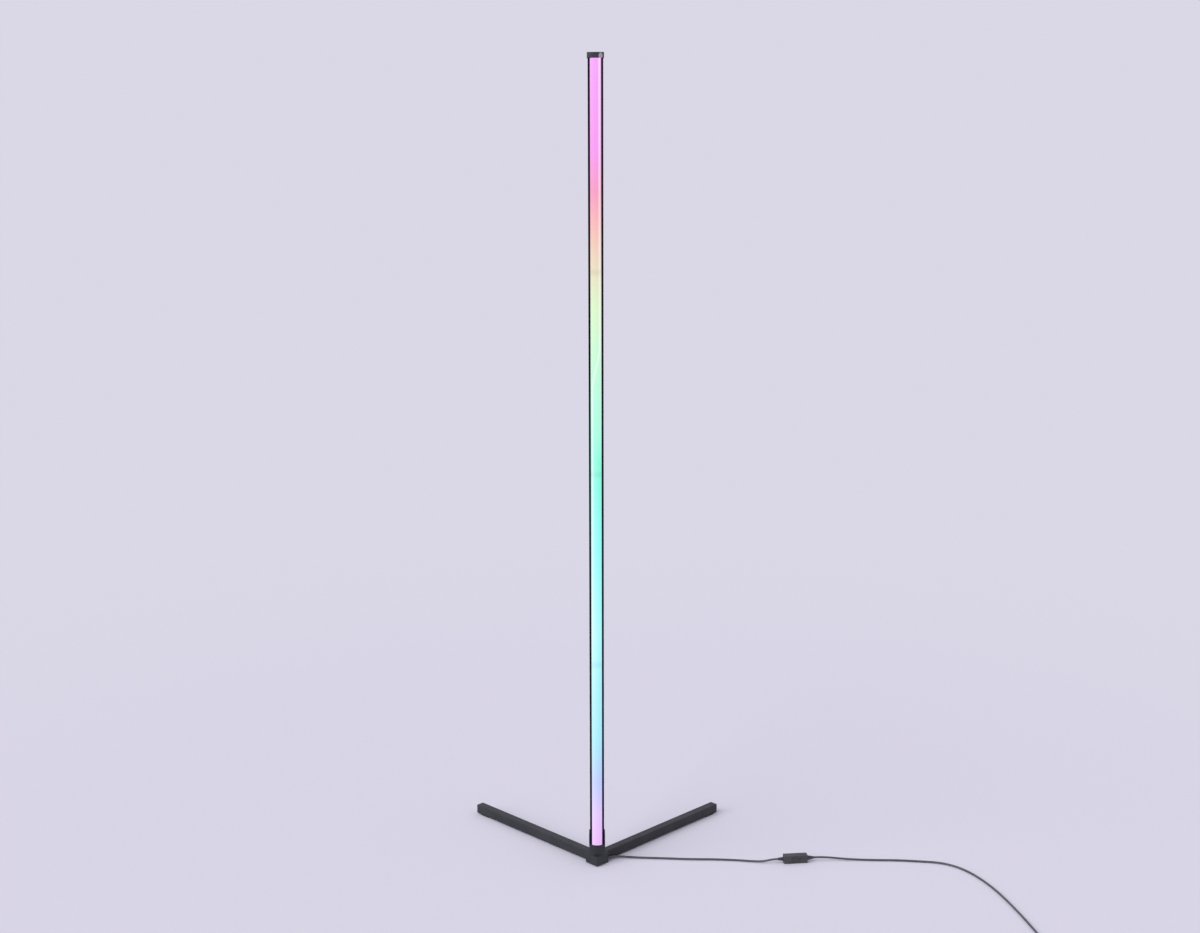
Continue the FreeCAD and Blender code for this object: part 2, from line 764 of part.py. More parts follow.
def build_case():
    inner_face = control_face - control_wall
    head_seat = control_face - control_screw_head_height - slip_gap
    screw_tip = head_seat - control_screw_length
    opening = box(-button_length / 2 - seat_gap, button_length / 2 + seat_gap, -control_face, -inner_face,
                  -button_height / 2 - seat_gap, button_height / 2 + seat_gap)
    opening = round_along(opening, button_corner_radius + seat_gap, BACK)
    front = case_half(-1).cut(opening)
    back = case_half(1)
    screws = []
    for place in case_screw_places():
        front_boss = rod(control_boss_radius, place - BACK * (inner_face + 0.5), BACK, inner_face + 0.5)
        back_boss = rod(control_boss_radius, place, BACK, inner_face + 0.5)
        bore = rod(control_screw_radius + thread_gap, place + BACK * (screw_tip - 0.4), BACK,
                   0.4 - screw_tip)
        passage = rod(control_screw_radius + slip_gap, place, BACK, control_face)
        sink = rod(control_screw_head_radius + slip_gap, place + BACK * head_seat, BACK, control_face)
        front = front.fuse(front_boss).cut(bore)
        back = back.fuse(back_boss).cut([passage, sink])
        head = rod(control_screw_head_radius, place + BACK * head_seat, BACK, control_screw_head_height)
        drive = rod(0.5 * control_screw_head_radius,
                    place + BACK * (head_seat + 0.4 * control_screw_head_height), BACK, control_face)
        shank = rod(control_screw_radius, place + BACK * screw_tip, BACK, control_screw_length)
        screws.append(head.cut(drive).fuse(shank))
    rib_half = control_height / 2 - control_wall + 0.2
    for side in (-1, 1):
        middle = side * rib_spacing / 2
        rib = box(middle - rib_thickness / 2, middle + rib_thickness / 2, board_rest, inner_face + 0.2,
                  -rib_half, rib_half)
        back = back.fuse(rib)
    export_in_control("control_front", front.removeSplitter())
    export_in_control("control_back", back.removeSplitter())
    export_in_control("control_screws", *screws)


def build_button():
    """The push button, its plunger and the switch that the plunger works."""
    flange_front = -control_face + control_wall + seat_gap
    flange_back = flange_front + button_flange_thickness
    shoulder = -control_face - button_proud + button_crown
    half = button_length / 2
    cap = box(-half, half, shoulder, flange_front, -button_height / 2, button_height / 2)
    cap = round_along(cap, button_corner_radius, BACK)
    end = V(half - button_crown_inset, shoulder, -button_height / 2 + button_crown_inset)
    start = V(-end.x, end.y, end.z)
    arc = Part.Arc(start, V(0, shoulder - button_crown, end.z), end).toShape()
    chord = Part.LineSegment(end, start).toShape()
    crown = Part.Face(Part.Wire([arc, chord])).extrude(UP * (-2 * end.z))
    flange = box(-half - button_flange, half + button_flange, flange_front, flange_back,
                 -button_height / 2 - button_flange, button_height / 2 + button_flange)
    export_in_control("control_button", cap.fuse([crown, flange]).removeSplitter())
    plunger_end = tact_front + plunger_entry
    export_in_control("control_plunger", rod(plunger_radius, BACK * flange_back, BACK,
                                             plunger_end - flange_back))
    tact_half = tact_side / 2
    tact = box(-tact_half, tact_half, tact_front, board_setback, -tact_half, tact_half)
    pocket = rod(plunger_radius + 2 * thread_gap, BACK * tact_front, BACK,
                 plunger_entry + button_travel + thread_gap)
    export_in_control("control_switch", tact.cut(pocket))


def build_board():
    half = control_half - control_wall - board_end_margin
    half_width = control_height / 2 - control_wall - board_side_margin
    board = box(-half, half, board_setback, board_rest, -half_width, half_width)
    notches = [rod(control_boss_radius + slip_gap, place, BACK, control_face)
               for place in case_screw_places()]
    export_in_control("control_board", board.cut(notches))
    export_in_control("control_chip", box(-chip_length / 2, chip_length / 2, board_rest,
                                          board_rest + chip_thickness, -chip_breadth / 2, chip_breadth / 2))


def relief(body):
    """A strain relief, made along +X from the case's end face, with its captive flange inside."""
    inner = ALONG * -control_wall
    neck = rod(relief_hole_radius - 2 * thread_gap, inner, ALONG, control_wall)
    flange = rod(relief_hole_radius + relief_flange_margin, inner, -ALONG, relief_flange_thickness)
    return body.fuse([neck, flange]).removeSplitter()


def build_reliefs():
    ribbed = cone(lamp_relief_radius, relief_tip_radius, V(0, 0, 0), ALONG, lamp_relief_length)
    pitch = lamp_relief_length / (lamp_relief_ribs + 1)
    for number in range(lamp_relief_ribs):
        start = ALONG * ((number + 0.4) * pitch)
        ring = rod(lamp_relief_radius + 1, start, ALONG, 0.4 * pitch)
        core = rod(relief_tip_radius, start, ALONG, 0.4 * pitch)
        ribbed = ribbed.cut(ring.cut(core))
    lamp_end = relief(ribbed)
    lamp_end = placed_along(lamp_end, ALONG * -control_half, -ALONG)
    export_in_control("control_relief_lamp", lamp_end)
    smooth = cone(supply_relief_radius, relief_tip_radius, V(0, 0, 0), ALONG, supply_relief_length)
    export_in_control("control_relief_supply", placed_along(relief(smooth), ALONG * control_half, ALONG))


# ---------------------------------------------------------------- lead

def build_free_lead():
    """The two stretches on the floor: lamp to control, and control to coil."""
    lamp_end = -control_half - lamp_relief_length
    supply_end = control_half + supply_relief_length
    nose = grommet_point(block_side / 2 + grommet_nose)
    to_control = [nose,
                  nose + leg_direction(1) * 7.5,
                  V(36.0, 17.6, 3.4),
                  V(51.0, 19.2, 2.1),
                  V(78.0, 15.4, lead_on_floor),
                  V(121.0, 12.6, lead_on_floor),
                  V(166.0, 8.4, lead_on_floor),
                  V(212.0, 7.6, lead_on_floor),
                  V(256.0, 3.4, lead_on_floor),
                  V(285.0, -2.2, lead_on_floor),
                  V(302.0, -5.0, 3.8),
                  control_point(lamp_end - 10.0),
                  control_point(lamp_end)]
    export("cord_to_control", route_tube("cord_to_control", to_control, lead_radius))
    coil_start = coil_line(0) + BACK * (2 * lead_radius)
    to_coil = [control_point(supply_end),
               control_point(supply_end + 10.0),
               V(418.0, 4.6, 6.2),
               V(443.0, 4.9, 3.6),
               V(471.0, 4.2, lead_on_floor),
               V(508.0, 2.2, lead_on_floor),
               V(545.0, 1.2, lead_on_floor),
               V(580.0, -3.8, lead_on_floor),
               V(611.0, -8.0, lead_on_floor),
               V(636.0, -20.0, lead_on_floor),
               V(657.0, -43.0, lead_on_floor),
               V(675.0, -77.0, lead_on_floor),
               V(690.0, -120.0, lead_on_floor),
               V(701.0, -166.0, lead_on_floor),
               V(710.0, -214.0, lead_on_floor),
               V(717.5, -260.0, lead_on_floor),
               V(722.0, -296.0, lead_on_floor + 0.4),
               coil_start + BACK * 16.0,
               coil_start]
    export("cord_to_coil", route_tube("cord_to_coil", to_coil, lead_radius))


def coil_line(turns):
    """A point on the coil's centre line after a number of turns."""
    reverse = coil_turns_in + 0.25
    radius = coil_outer_radius - coil_pitch * (reverse - abs(turns - reverse))
    climbed = min(max(2 * (turns - coil_turns_in), 0.0), 1.0)
    angle = -2 * math.pi * turns
    return V(coil_x + radius * math.cos(angle), coil_y + radius * math.sin(angle),
             coil_bottom + coil_pitch * climbed)


def coil_direction(turns):
    """The way the centre line runs there, level except in the middle of the climb."""
    step = 1e-4
    way = (coil_line(turns + step) - coil_line(turns - step)).normalize()
    climbing = abs(turns - coil_turns_in - 0.25) < 0.1
    return way if climbing else V(way.x, way.y, 0).normalize()


def coil_heading(turns):
    """Square to the radius: the way the lead runs into and out of the coil."""
    angle = -2 * math.pi * turns
    return V(math.sin(angle), -math.cos(angle), 0)


def biarc(start, start_way, end, end_way):
    """Two arcs that leave start and reach end in the given directions."""
    span = end - start
    both = start_way + end_way
    spread = 2 * (1 - start_way.dot(end_way))
    reach = (math.sqrt(span.dot(both) ** 2 + spread * span.dot(span)) - span.dot(both)) / spread
    first_corner = start + start_way * reach
    second_corner = end - end_way * reach
    meeting = (first_corner + second_corner) * 0.5
    return [arc_by_corner(start, first_corner, meeting), arc_by_corner(meeting, second_corner, end)]


def least_gap(path, diameter):
    """The smallest distance between two turns of the path, less the lead's diameter."""
    points = path.discretize(Distance=1.0)
    apart = int(6 * diameter)
    nearest = min(point.distanceToPoint(other) for index, point in enumerate(points)
                  for other in points[index + apart:])
    return nearest - diameter


def build_coil():
    """The put-away length: a lower layer wound inwards and an upper one wound outwards."""
    total = coil_turns_in + 0.5 + coil_turns_out
    stops = [number * 0.25 for number in range(int(round(4 * total)) + 1)]
    points = [coil_line(stop) for stop in stops]
    ways = [coil_direction(stop) for stop in stops]
    ways[0] = coil_heading(0)
    ways[-1] = coil_heading(total)
    straight = 2 * lead_radius
    first = points[0] - ways[0] * straight
    last = points[-1] + ways[-1] * straight
    edges = [Part.LineSegment(first, points[0]).toShape()]
    for index in range(len(stops) - 1):
        edges += biarc(points[index], ways[index], points[index + 1], ways[index + 1])
    edges.append(Part.LineSegment(points[-1], last).toShape())
    coil, path = tube_along("cord_coil", edges, lead_radius, first, ways[0])
    print("  least gap of the coil to itself %.2f" % least_gap(path, 2 * lead_radius))
    export("cord_coil", coil)
    return last, ways[-1]


def build_tie():
    """A strap once round the bundle of turns."""
    half = tie_width / 2
    place = FreeCAD.Placement(V(coil_x, coil_y, 0), FreeCAD.Rotation(UP, tie_angle))
    total = coil_turns_in + 0.5 + coil_turns_out
    line = [place.inverse().multVec(coil_line(number / 90)) for number in range(int(90 * total))]
    reaches = [point.x for point in line if point.x > 0 and abs(point.y) < half]
    inner = min(reaches) - lead_radius - tie_gap
    outer = max(reaches) + lead_radius + tie_gap
    high = coil_bottom + coil_pitch + lead_radius + tie_gap
    top = high + tie_thickness
    band = box(inner - tie_thickness, outer + tie_thickness, -half, half, 0, top)
    band = round_along(band, 1.5 * tie_thickness, BACK)
    space = round_along(box(inner, outer, -half, half, tie_thickness, high), 0.7 * tie_thickness, BACK)
    tail = box(outer - tie_tail, outer, -half, half, top, top + tie_thickness)
    export("coil_tie", placed(band.cut(space).fuse(tail).removeSplitter(), place))


def build_plug(lead_end, way):
    """The last stretch of lead, and the power plug beside the coil."""
    turn = FreeCAD.Rotation(UP, plug_turn).multVec(way)
    plug_start = lead_end + way * 22.0 + turn * 26.0
    plug_start.z = grip_height / 2
    points = [lead_end,
              lead_end + way * 8.0,
              lead_end + way * 17.5 + turn * 1.5 - UP * 0.9,
              lead_end + way * 22.0 + turn * 10.0 - UP * 2.3,
              plug_start - turn * 8.0,
              plug_start]
    export("cord_to_plug", route_tube("cord_to_plug", points, lead_radius))
    place = FreeCAD.Placement(plug_start, FreeCAD.Rotation(ALONG, turn))
    grip_end = grip_relief_length + grip_length
    shell_end = grip_end + shell_length
    sleeve = cone(relief_tip_radius, grip_relief_radius, V(0, 0, 0), ALONG, grip_relief_length)
    grip = lying_bar(grip_relief_length, grip_end, grip_width, grip_height, grip_side_radius)
    grip = round_edges(grip, grip_end_radius, lambda edge: edge.CenterOfMass.x < grip_relief_length + 1e-3)
    export("plug_grip", placed(grip.fuse(sleeve).removeSplitter(), place))
    shell = lying_bar(grip_end, shell_end, shell_width, shell_height, shell_radius)
    mouth = box(grip_end, shell_end, -shell_width / 2 + shell_wall, shell_width / 2 - shell_wall,
                -shell_height / 2 + shell_wall, shell_height / 2 - shell_wall)
    export("plug_shell", placed(shell.cut(mouth), place))
    tongue_half = shell_width / 2 - shell_wall - slip_gap
    tongue_bottom = -shell_height / 2 + shell_wall
    tongue_top = tongue_bottom + tongue_thickness
    tongue_end = shell_end - tongue_setback
    export("plug_tongue", placed(box(grip_end, tongue_end, -tongue_half, tongue_half, tongue_bottom,
                                     tongue_top), place))
    bars = []
    for number in range(bar_count):
        middle = (number - (bar_count - 1) / 2) * bar_pitch
        far = tongue_end - bar_setback
        bars.append(placed(box(far - bar_length, far, middle - bar_width / 2, middle + bar_width / 2,
                               tongue_top, tongue_top + bar_thickness), place))
    export("plug_contacts", *bars)


def main():
    os.makedirs("parts", exist_ok=True)
    build_post()
    build_base_insert()
    build_top_cap()
    build_corner_block()
    build_block_cover()
    build_legs()
    build_post_socket()
    build_base_screws()
    build_lead_wire(build_grommet())
    build_case()
    build_button()
    build_board()
    build_reliefs()
    build_free_lead()
    build_plug(*build_coil())
    build_tie()


main()
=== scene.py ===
# %% [markdown]
# # A corner floor lamp, dressed for the camera
# The lamp is a slim aluminium post in four screwed sections. It stands on a V-shaped base, which fits
# the corner of a room. A strip of light emitters behind an opal cover gives it its colours. The solid
# model is already exact, so Blender gives it what a solid model lacks: real surfaces, soft leads,
# moulded ribs, screws with drives, and light.

# %% Load the solid model as a fixed frame
import math

import bmesh
import bpy
from mathutils import Matrix, Vector


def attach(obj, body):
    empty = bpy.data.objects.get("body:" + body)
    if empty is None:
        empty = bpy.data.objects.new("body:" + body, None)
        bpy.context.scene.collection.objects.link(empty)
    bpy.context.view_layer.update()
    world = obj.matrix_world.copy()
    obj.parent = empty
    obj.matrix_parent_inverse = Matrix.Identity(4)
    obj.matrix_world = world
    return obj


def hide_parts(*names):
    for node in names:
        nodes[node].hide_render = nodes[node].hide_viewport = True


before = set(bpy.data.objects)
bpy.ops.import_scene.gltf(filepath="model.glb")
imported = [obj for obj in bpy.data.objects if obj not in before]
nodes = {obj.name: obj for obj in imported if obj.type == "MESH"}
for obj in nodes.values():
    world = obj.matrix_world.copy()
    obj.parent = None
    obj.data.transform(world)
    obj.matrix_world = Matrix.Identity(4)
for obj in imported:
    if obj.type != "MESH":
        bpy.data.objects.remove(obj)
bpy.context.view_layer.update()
mm = 0.001


# %% [markdown]
# ## The camera
# The picture was taken from a little below the top of the lamp, 2.7 m in front of it, looking down by
# 14 degrees. The picture's centre lies above the optical axis, as if it had been cut out of a taller
# one, and the camera's vertical shift repeats that. The lens is 48.6 mm on a 36 mm sensor.

# %% Camera
def put(name, data):
    """Puts a camera, lamp, mesh or curve into the scene as an object at the origin."""
    thing = bpy.data.objects.new(name, data)
    bpy.context.collection.objects.link(thing)
    return thing


photo_width = 1200
focal_pixels = 1619.57
axis_below_centre = 75.03

camera_data = bpy.data.cameras.new("camera")
camera_data.sensor_width = 36.0
camera_data.lens = focal_pixels * camera_data.sensor_width / photo_width
camera_data.shift_y = axis_below_centre / photo_width
camera_data.clip_start = 0.05
camera_data.clip_end = 200.0
camera = put("camera", camera_data)
camera_place = Matrix.Translation(Vector((-1.07, -2697.55, 1259.09)) * mm)
degrees_right, degrees_down, degrees_rolled = 0.152, 13.819, 0.096
heading = Matrix.Rotation(math.radians(-degrees_right), 4, "Z")
tilt = Matrix.Rotation(math.radians(90 - degrees_down), 4, "X")
roll = Matrix.Rotation(math.radians(-degrees_rolled), 4, "Z")
camera.matrix_world = camera_place @ heading @ tilt @ roll
bpy.context.scene.camera = camera
print("lens %.2f mm, shift %.4f" % (camera_data.lens, camera_data.shift_y))

# %% [markdown]
# ## Colours and nodes
# Paint and plastic makers give colours as sRGB codes, and Blender's shaders count in linear light, so
# one function turns the first into the second. Another adds a node of any kind to a tree, with its
# settings and its links, for shaders and Geometry Nodes alike. The last two find where a point lies in
# the piece's own coordinates. A fade that starts and ends softly is a setting that several nodes share.

# %% Helpers for colours and nodes
def srgb(code):
    """A code such as #RRGGBB as a linear colour with its alpha."""
    parts = [int(code[place:place + 2], 16) / 255 for place in (1, 3, 5)]
    linear = [part / 12.92 if part <= 0.04045 else ((part + 0.055) / 1.055) ** 2.4 for part in parts]
    return (*linear, 1.0)


def add(tree, kind, inputs=None, stops=(), **settings):
    """Adds a node. Each input is a value, the socket that feeds it, or a node whose first output does.

    stops are a colour ramp's.
    """
    node = tree.nodes.new(kind)
    for name, value in settings.items():
        setattr(node, name, value)
    for key, value in (inputs or {}).items():
        if isinstance(value, bpy.types.Node):
            value = value.outputs[0]
        if isinstance(value, bpy.types.NodeSocket):
            tree.links.new(value, node.inputs[key])
        else:
            node.inputs[key].default_value = value
    for index, (place, code) in enumerate(stops):
        elements = node.color_ramp.elements
        element = elements[index] if index < 2 else elements.new(place)
        element.position = place
        element.color = srgb(code)
    return node


def own_place(tree):
    """Where a point lies in the piece's own coordinates."""
    return add(tree, "ShaderNodeTexCoord").outputs["Object"]


def own_axes(tree):
    """The X, Y and Z of that place, each by itself."""
    return add(tree, "ShaderNodeSeparateXYZ", {"Vector": own_place(tree)}).outputs


softly = {"interpolation_type": "SMOOTHSTEP"}
print("the grey #808080 is", round(srgb("#808080")[0], 3), "in linear light")

# %% [markdown]
# ## A surface finish
# Every surface here was moulded, extruded, coated or plated, and all of them show the same three
# things up close: a colour that drifts a little, a fine texture, and a gloss that changes with it. One
# function makes them from sizes in millimetres. Noise is read from the piece's own coordinates, so a
# grain of half a millimetre is half a millimetre on every piece. Stretching it along one axis draws it
# out into the lines that an extrusion die or a brush leaves.

# %% Surface finish
def finish(name, shades, drift, roughness, grain, depth, stretch=(1, 1, 1), spread=0.06, metallic=0.0,
        specular=0.5):
    """A finish that drifts between two shades over drift mm, with a texture of grain and depth mm."""
    material = bpy.data.materials.new(name)
    material.use_nodes = True
    tree = material.node_tree
    shader = tree.nodes["Principled BSDF"]
    place = own_place(tree)
    drawn = add(tree, "ShaderNodeMapping", {"Vector": place, "Scale": stretch}).outputs["Vector"]
    clouds = add(tree, "ShaderNodeTexNoise", {"Vector": drawn, "Scale": 1 / (drift * mm), "Detail": 3.0})
    tint = add(tree, "ShaderNodeValToRGB", {"Fac": clouds.outputs["Fac"]},
        stops=[(0.36, shades[0]), (0.64, shades[1])])
    texture = add(tree, "ShaderNodeTexNoise", {"Vector": drawn, "Scale": 1 / (grain * mm), "Detail": 2.0})
    gloss = add(tree, "ShaderNodeMapRange", {"Value": texture.outputs["Fac"], "From Min": 0.3,
        "From Max": 0.7, "To Min": roughness - spread, "To Max": roughness + spread})
    bumps = add(tree, "ShaderNodeBump", {"Height": texture.outputs["Fac"], "Distance": depth * mm})
    tree.links.new(tint.outputs["Color"], shader.inputs["Base Color"])
    tree.links.new(gloss.outputs["Result"], shader.inputs["Roughness"])
    tree.links.new(bumps.outputs["Normal"], shader.inputs["Normal"])
    shader.inputs["Metallic"].default_value = metallic
    shader.inputs["Specular IOR Level"].default_value = specular
    material.diffuse_color = srgb(shades[1])
    print("finish", name, "between", *shades)
    return material


# %% [markdown]
# ## The lead
# The lead is a 3.6 mm round mains-style lead with a soft PVC sheath. It leaves the base through a short
# moulded sleeve beside the right leg, lies on the floor in a slack line to a small in-line control, and
# goes on out of the picture. A lead has a fixed length, so what the picture doesn't show is wound into
# a tied coil just outside the view. Blender's NURBS curve is right for it: its points are the corners
# of the route, and the line between them bends as smoothly as a real lead. The order is set after the
# points are there, because before them it falls back to straight runs.

# %% The sheath and the leads
lead_radius = 1.8
pvc_sheath = finish("soft_pvc_sheath", ("#424146", "#4C4B50"), 14, 0.4, 0.9, 0.03)


def lay_lead(name, points, radius):
    """A lead along these points, in millimetres, as a smooth round curve."""
    curve = bpy.data.curves.new(name, "CURVE")
    curve.dimensions = "3D"
    curve.resolution_u = 8
    curve.bevel_depth = radius * mm
    curve.bevel_resolution = 4
    curve.use_fill_caps = True
    spline = curve.splines.new("NURBS")
    spline.points.add(len(points) - 1)
    for point, place in zip(spline.points, points):
        point.co = (*[value * mm for value in place], 1.0)
    spline.order_u = 3
    spline.use_endpoint_u = True
    curve.materials.append(pvc_sheath)
    print(name, "follows", len(points), "points")
    return put(name, curve)


# %% [markdown]
# The first stretch goes from the base to the control. It leaves in line with the leg, comes down to the
# floor within a few centimetres, and rises again into the control's end.

# %% Lead from the base to the control
lead_to_control = lay_lead("lead_to_control", [
    (21.496, 6.505, 6.0), (26.80, 11.81, 6.0), (36.0, 17.6, 3.4), (51.0, 19.2, 2.1), (78.0, 15.4, 1.9),
    (121.0, 12.6, 1.9), (166.0, 8.4, 1.9), (212.0, 7.6, 1.9), (256.0, 3.4, 1.9), (285.0, -2.2, 1.9),
    (302.0, -5.0, 3.8), (315.031, -5.701, 7.5), (324.976, -4.655, 7.5)], lead_radius)

# %% [markdown]
# The second stretch runs on to the right, sweeps towards the camera and leaves the picture. There it
# turns into the coil: three and a half turns inwards on the floor, then three and a half outwards on
# top of them, each a lead's width beside the last. Fourteen points go into a turn.

# %% Lead from the control to the plug, with its coil
coil_centre = Vector((696.0, -338.0))
coil_radius = 27.0
coil_pitch = 4.1
coil_turns = 7.25
turns_inwards = 3.5
coil_height = 3.1
points_per_turn = 14


def coil_point(turns):
    """The lead's centre after this many turns: inwards below, then outwards on top."""
    radius = coil_radius - coil_pitch * (turns_inwards - abs(turns - turns_inwards))
    angle = -2 * math.pi * turns
    climbed = min(max(2 * (turns - turns_inwards + 0.25), 0.0), 1.0)
    return (coil_centre.x + radius * math.cos(angle), coil_centre.y + radius * math.sin(angle),
            coil_height + coil_pitch * climbed)


across_floor = [
    (389.918, 2.170, 7.5), (399.863, 3.216, 7.5), (418.0, 4.6, 6.2), (443.0, 4.9, 3.6), (471.0, 4.2, 1.9),
    (508.0, 2.2, 1.9), (545.0, 1.2, 1.9), (580.0, -3.8, 1.9), (611.0, -8.0, 1.9), (636.0, -20.0, 1.9),
    (657.0, -43.0, 1.9), (675.0, -77.0, 1.9), (690.0, -120.0, 1.9), (701.0, -166.0, 1.9),
    (710.0, -214.0, 1.9), (717.5, -260.0, 1.9), (722.0, -296.0, 2.3), (723.0, -318.4, 3.1)]
steps = round(coil_turns * points_per_turn)
coil = [coil_point(coil_turns * step / steps) for step in range(steps + 1)]
coil_end = Vector((692.4, -366.025, 7.2))
plug_start = Vector((649.91, -382.03, 4.0))
plug_turn = math.radians(180 + 38)
plug_way = Vector((math.cos(plug_turn), math.sin(plug_turn), 0.0))
to_plug = [coil_end, coil_end - Vector((8.0, 0, 0)), coil_end - Vector((17.5, 0, 0.9)) + plug_way * 1.5,
    coil_end - Vector((22.0, 0, 2.3)) + plug_way * 10.0, plug_start - plug_way * 8.0, plug_start]
lead_to_plug = lay_lead("lead_to_plug", across_floor + coil + to_plug, lead_radius)
print("of these,", len(coil), "are in the coil")

# %% [markdown]
# Inside the base a thinner wire takes the power from the sleeve up to the first light strip. Nobody
# sees it in the finished lamp, but a lamp taken apart shows it.

# %% Wire inside the base
inside_wire = lay_lead("wire_in_base", [
    (7.9602, -7.0304, 6.0), (3.364, -11.627, 6.0), (3.4, -8.6, 8.4), (0.3, -7.1, 14.5), (0.1, -6.7, 24.0),
    (0.0, -5.6, 31.0), (0.0, -5.6, 39.3)], 1.3)


# %% [markdown]
# ## Putting a piece in its place
# Every piece made here stands for a solid of the model, which it hides, and moves with one of its
# bodies. One function does both.

# %% Helper that settles a piece
def settle(piece, slot, *replaced, body="root"):
    """Lets a piece ride on a body and hides the solids that it stands for; its slot is not used."""
    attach(piece, body)
    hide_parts(*replaced)
    print(piece.name, "stands for", ", ".join(replaced))


settle(lead_to_control, "lead_sheath", "cord_to_control")
settle(lead_to_plug, "lead_sheath", "cord_to_coil", "cord_coil", "cord_to_plug")
settle(inside_wire, "lead_sheath", "lead_wire")

# %% [markdown]
# ## Finishes of the metal parts
# The post is extruded aluminium, anodised black: the die leaves faint lines along it, and the dyed
# oxide keeps a satin, slightly violet sheen. The base is steel and cast aluminium with a powder coat,
# which melts into a skin with a fine orange peel. Inside are plain mill aluminium, plated steel and
# gold-flashed contacts. A metal keeps Blender's default index of refraction.

# %% Metal finishes
anodised_aluminium = finish("black_anodised_aluminium", ("#15131A", "#1A171F"), 60, 0.38, 0.5, 0.003,
    stretch=(1, 1, 0.001), spread=0.03, metallic=0.9)
powder_coat = finish("black_powder_coated_steel", ("#25272A", "#2D2F32"), 25, 0.5, 0.7, 0.035, spread=0.08,
    specular=0.35)
mill_aluminium = finish("mill_finish_aluminium", ("#B4B6B8", "#C9CACB"), 12, 0.36, 0.3, 0.008,
    stretch=(1, 1, 0.02), metallic=1.0)
black_oxide_steel = finish("black_oxide_steel", ("#202124", "#2C2D30"), 3, 0.36, 0.25, 0.006, metallic=0.7)
nickel_steel = finish("nickel_plated_steel", ("#B9B6B0", "#CFCCC6"), 9, 0.22, 0.4, 0.003, metallic=1.0)
gold_flash = finish("gold_flashed_copper_alloy", ("#D9AE55", "#E6C06C"), 2, 0.2, 0.2, 0.002, metallic=1.0)

# %% [markdown]
# ## Finishes of the plastic parts
# Caps and the control are black ABS from a spark-eroded mould, which leaves a fine matt grain. The feet
# are soft rubber and quite dull. Connectors are natural nylon, chips are black epoxy, and the plug's
# tongue is white, glass-filled plastic.

# %% Plastic and rubber finishes
black_abs = finish("spark_textured_black_abs", ("#222224", "#28282A"), 18, 0.44, 0.45, 0.03, spread=0.08)
case_abs = finish("matt_black_abs_case", ("#363538", "#3E3D40"), 12, 0.5, 0.4, 0.025, spread=0.08)
button_abs = finish("satin_black_abs_button", ("#313033", "#39383B"), 8, 0.34, 0.5, 0.01, spread=0.05)
leg_end_abs = finish("satin_black_abs_leg_end", ("#3A3B3F", "#434448"), 10, 0.36, 0.45, 0.02)
foot_rubber = finish("soft_black_rubber", ("#161617", "#1E1E1F"), 6, 0.82, 0.6, 0.05)
natural_nylon = finish("natural_nylon", ("#E4E1D6", "#EFECE2"), 5, 0.42, 0.4, 0.01)
black_epoxy = finish("moulded_black_epoxy", ("#18191B", "#202124"), 3, 0.55, 0.15, 0.01)
relief_pvc = finish("moulded_soft_pvc", ("#2E2D31", "#39383D"), 6, 0.46, 0.5, 0.02)
filled_plastic = finish("white_glass_filled_plastic", ("#E9E8E2", "#F2F1EC"), 4, 0.4, 0.3, 0.008)

# %% [markdown]
# ## The opal cover and its light
# The cover is extruded opal polycarbonate. Coloured emitters behind it light it from top to bottom:
# pink, rose, peach, lime, mint, aqua, sky blue and orchid. The light is the piece's own, so its colour
# is set by height with one ramp, in the piece's own coordinates. A painted highlight runs along one
# line of the bulging cover, whiter than the glow: near the right edge above, near the left edge below.
# The body of the plastic is kept darker than the light, or the two together would burn out to white.

# %% Opal cover
post_foot = 39.0
section_length = 338.0
lamp_top = 1.391
glow_by_height = [
    (0.030, "#EDBEFD"), (0.070, "#E4CBFD"), (0.115, "#C2D2FE"), (0.175, "#B0F0FE"), (0.31, "#BFFBFE"),
    (0.42, "#A6FDFA"), (0.53, "#9BFCE2"), (0.63, "#BFFAD9"), (0.715, "#DAF4C7"), (0.765, "#E8DABC"),
    (0.81, "#F5BAB6"), (0.85, "#F59CC0"), (0.895, "#F599ED"), (1.0, "#F4A5F6")]
opal = bpy.data.materials.new("lit_opal_polycarbonate")
opal.use_nodes = True
opal_tree = opal.node_tree
opal_shader = opal_tree.nodes["Principled BSDF"]
axes = own_axes(opal_tree)
height = add(opal_tree, "ShaderNodeMapRange", {"Value": axes["Z"], "From Max": lamp_top})
glow = add(opal_tree, "ShaderNodeValToRGB", {"Fac": height}, stops=glow_by_height)
print("the cover's colours by height:", len(glow_by_height), "stops")

# %% [markdown]
# The painted highlight's line moves from 6 mm right of the middle to 6 mm left of it between 0.93 and
# 0.86 m up. The distance from that line, faded over two millimetres, mixes the glow towards white.

# %% Painted highlight along a line of the cover
# Painted highlight: a whiter line mixed into the cover's glow, in place of a reflection.
painted_highlight_white = 0.55
line_side = add(opal_tree, "ShaderNodeMapRange", {"Value": axes["Z"], "From Min": 0.86, "From Max": 0.93,
    "To Min": -6.2 * mm, "To Max": 6.0 * mm}, **softly)
line_off = add(opal_tree, "ShaderNodeMath", {0: axes["X"], 1: line_side}, operation="SUBTRACT")
line_gap = add(opal_tree, "ShaderNodeMath", {0: line_off}, operation="ABSOLUTE")
highlight_fade = add(opal_tree, "ShaderNodeMapRange", {"Value": line_gap, "From Min": 0.4 * mm,
    "From Max": 2.6 * mm, "To Min": painted_highlight_white, "To Max": 0.0}, **softly)
low_end = add(opal_tree, "ShaderNodeMapRange", {"Value": axes["Z"], "From Min": 0.36, "From Max": 0.46,
    "To Min": 0.25, "To Max": 1.0}, **softly)
painted_highlight_share = add(opal_tree, "ShaderNodeMath", {0: highlight_fade, 1: low_end}, operation="MULTIPLY")
painted_highlight_glow = add(opal_tree, "ShaderNodeMix", {0: painted_highlight_share, 6: glow, 7: (1.0, 1.0, 1.0, 1.0)},
    data_type="RGBA")
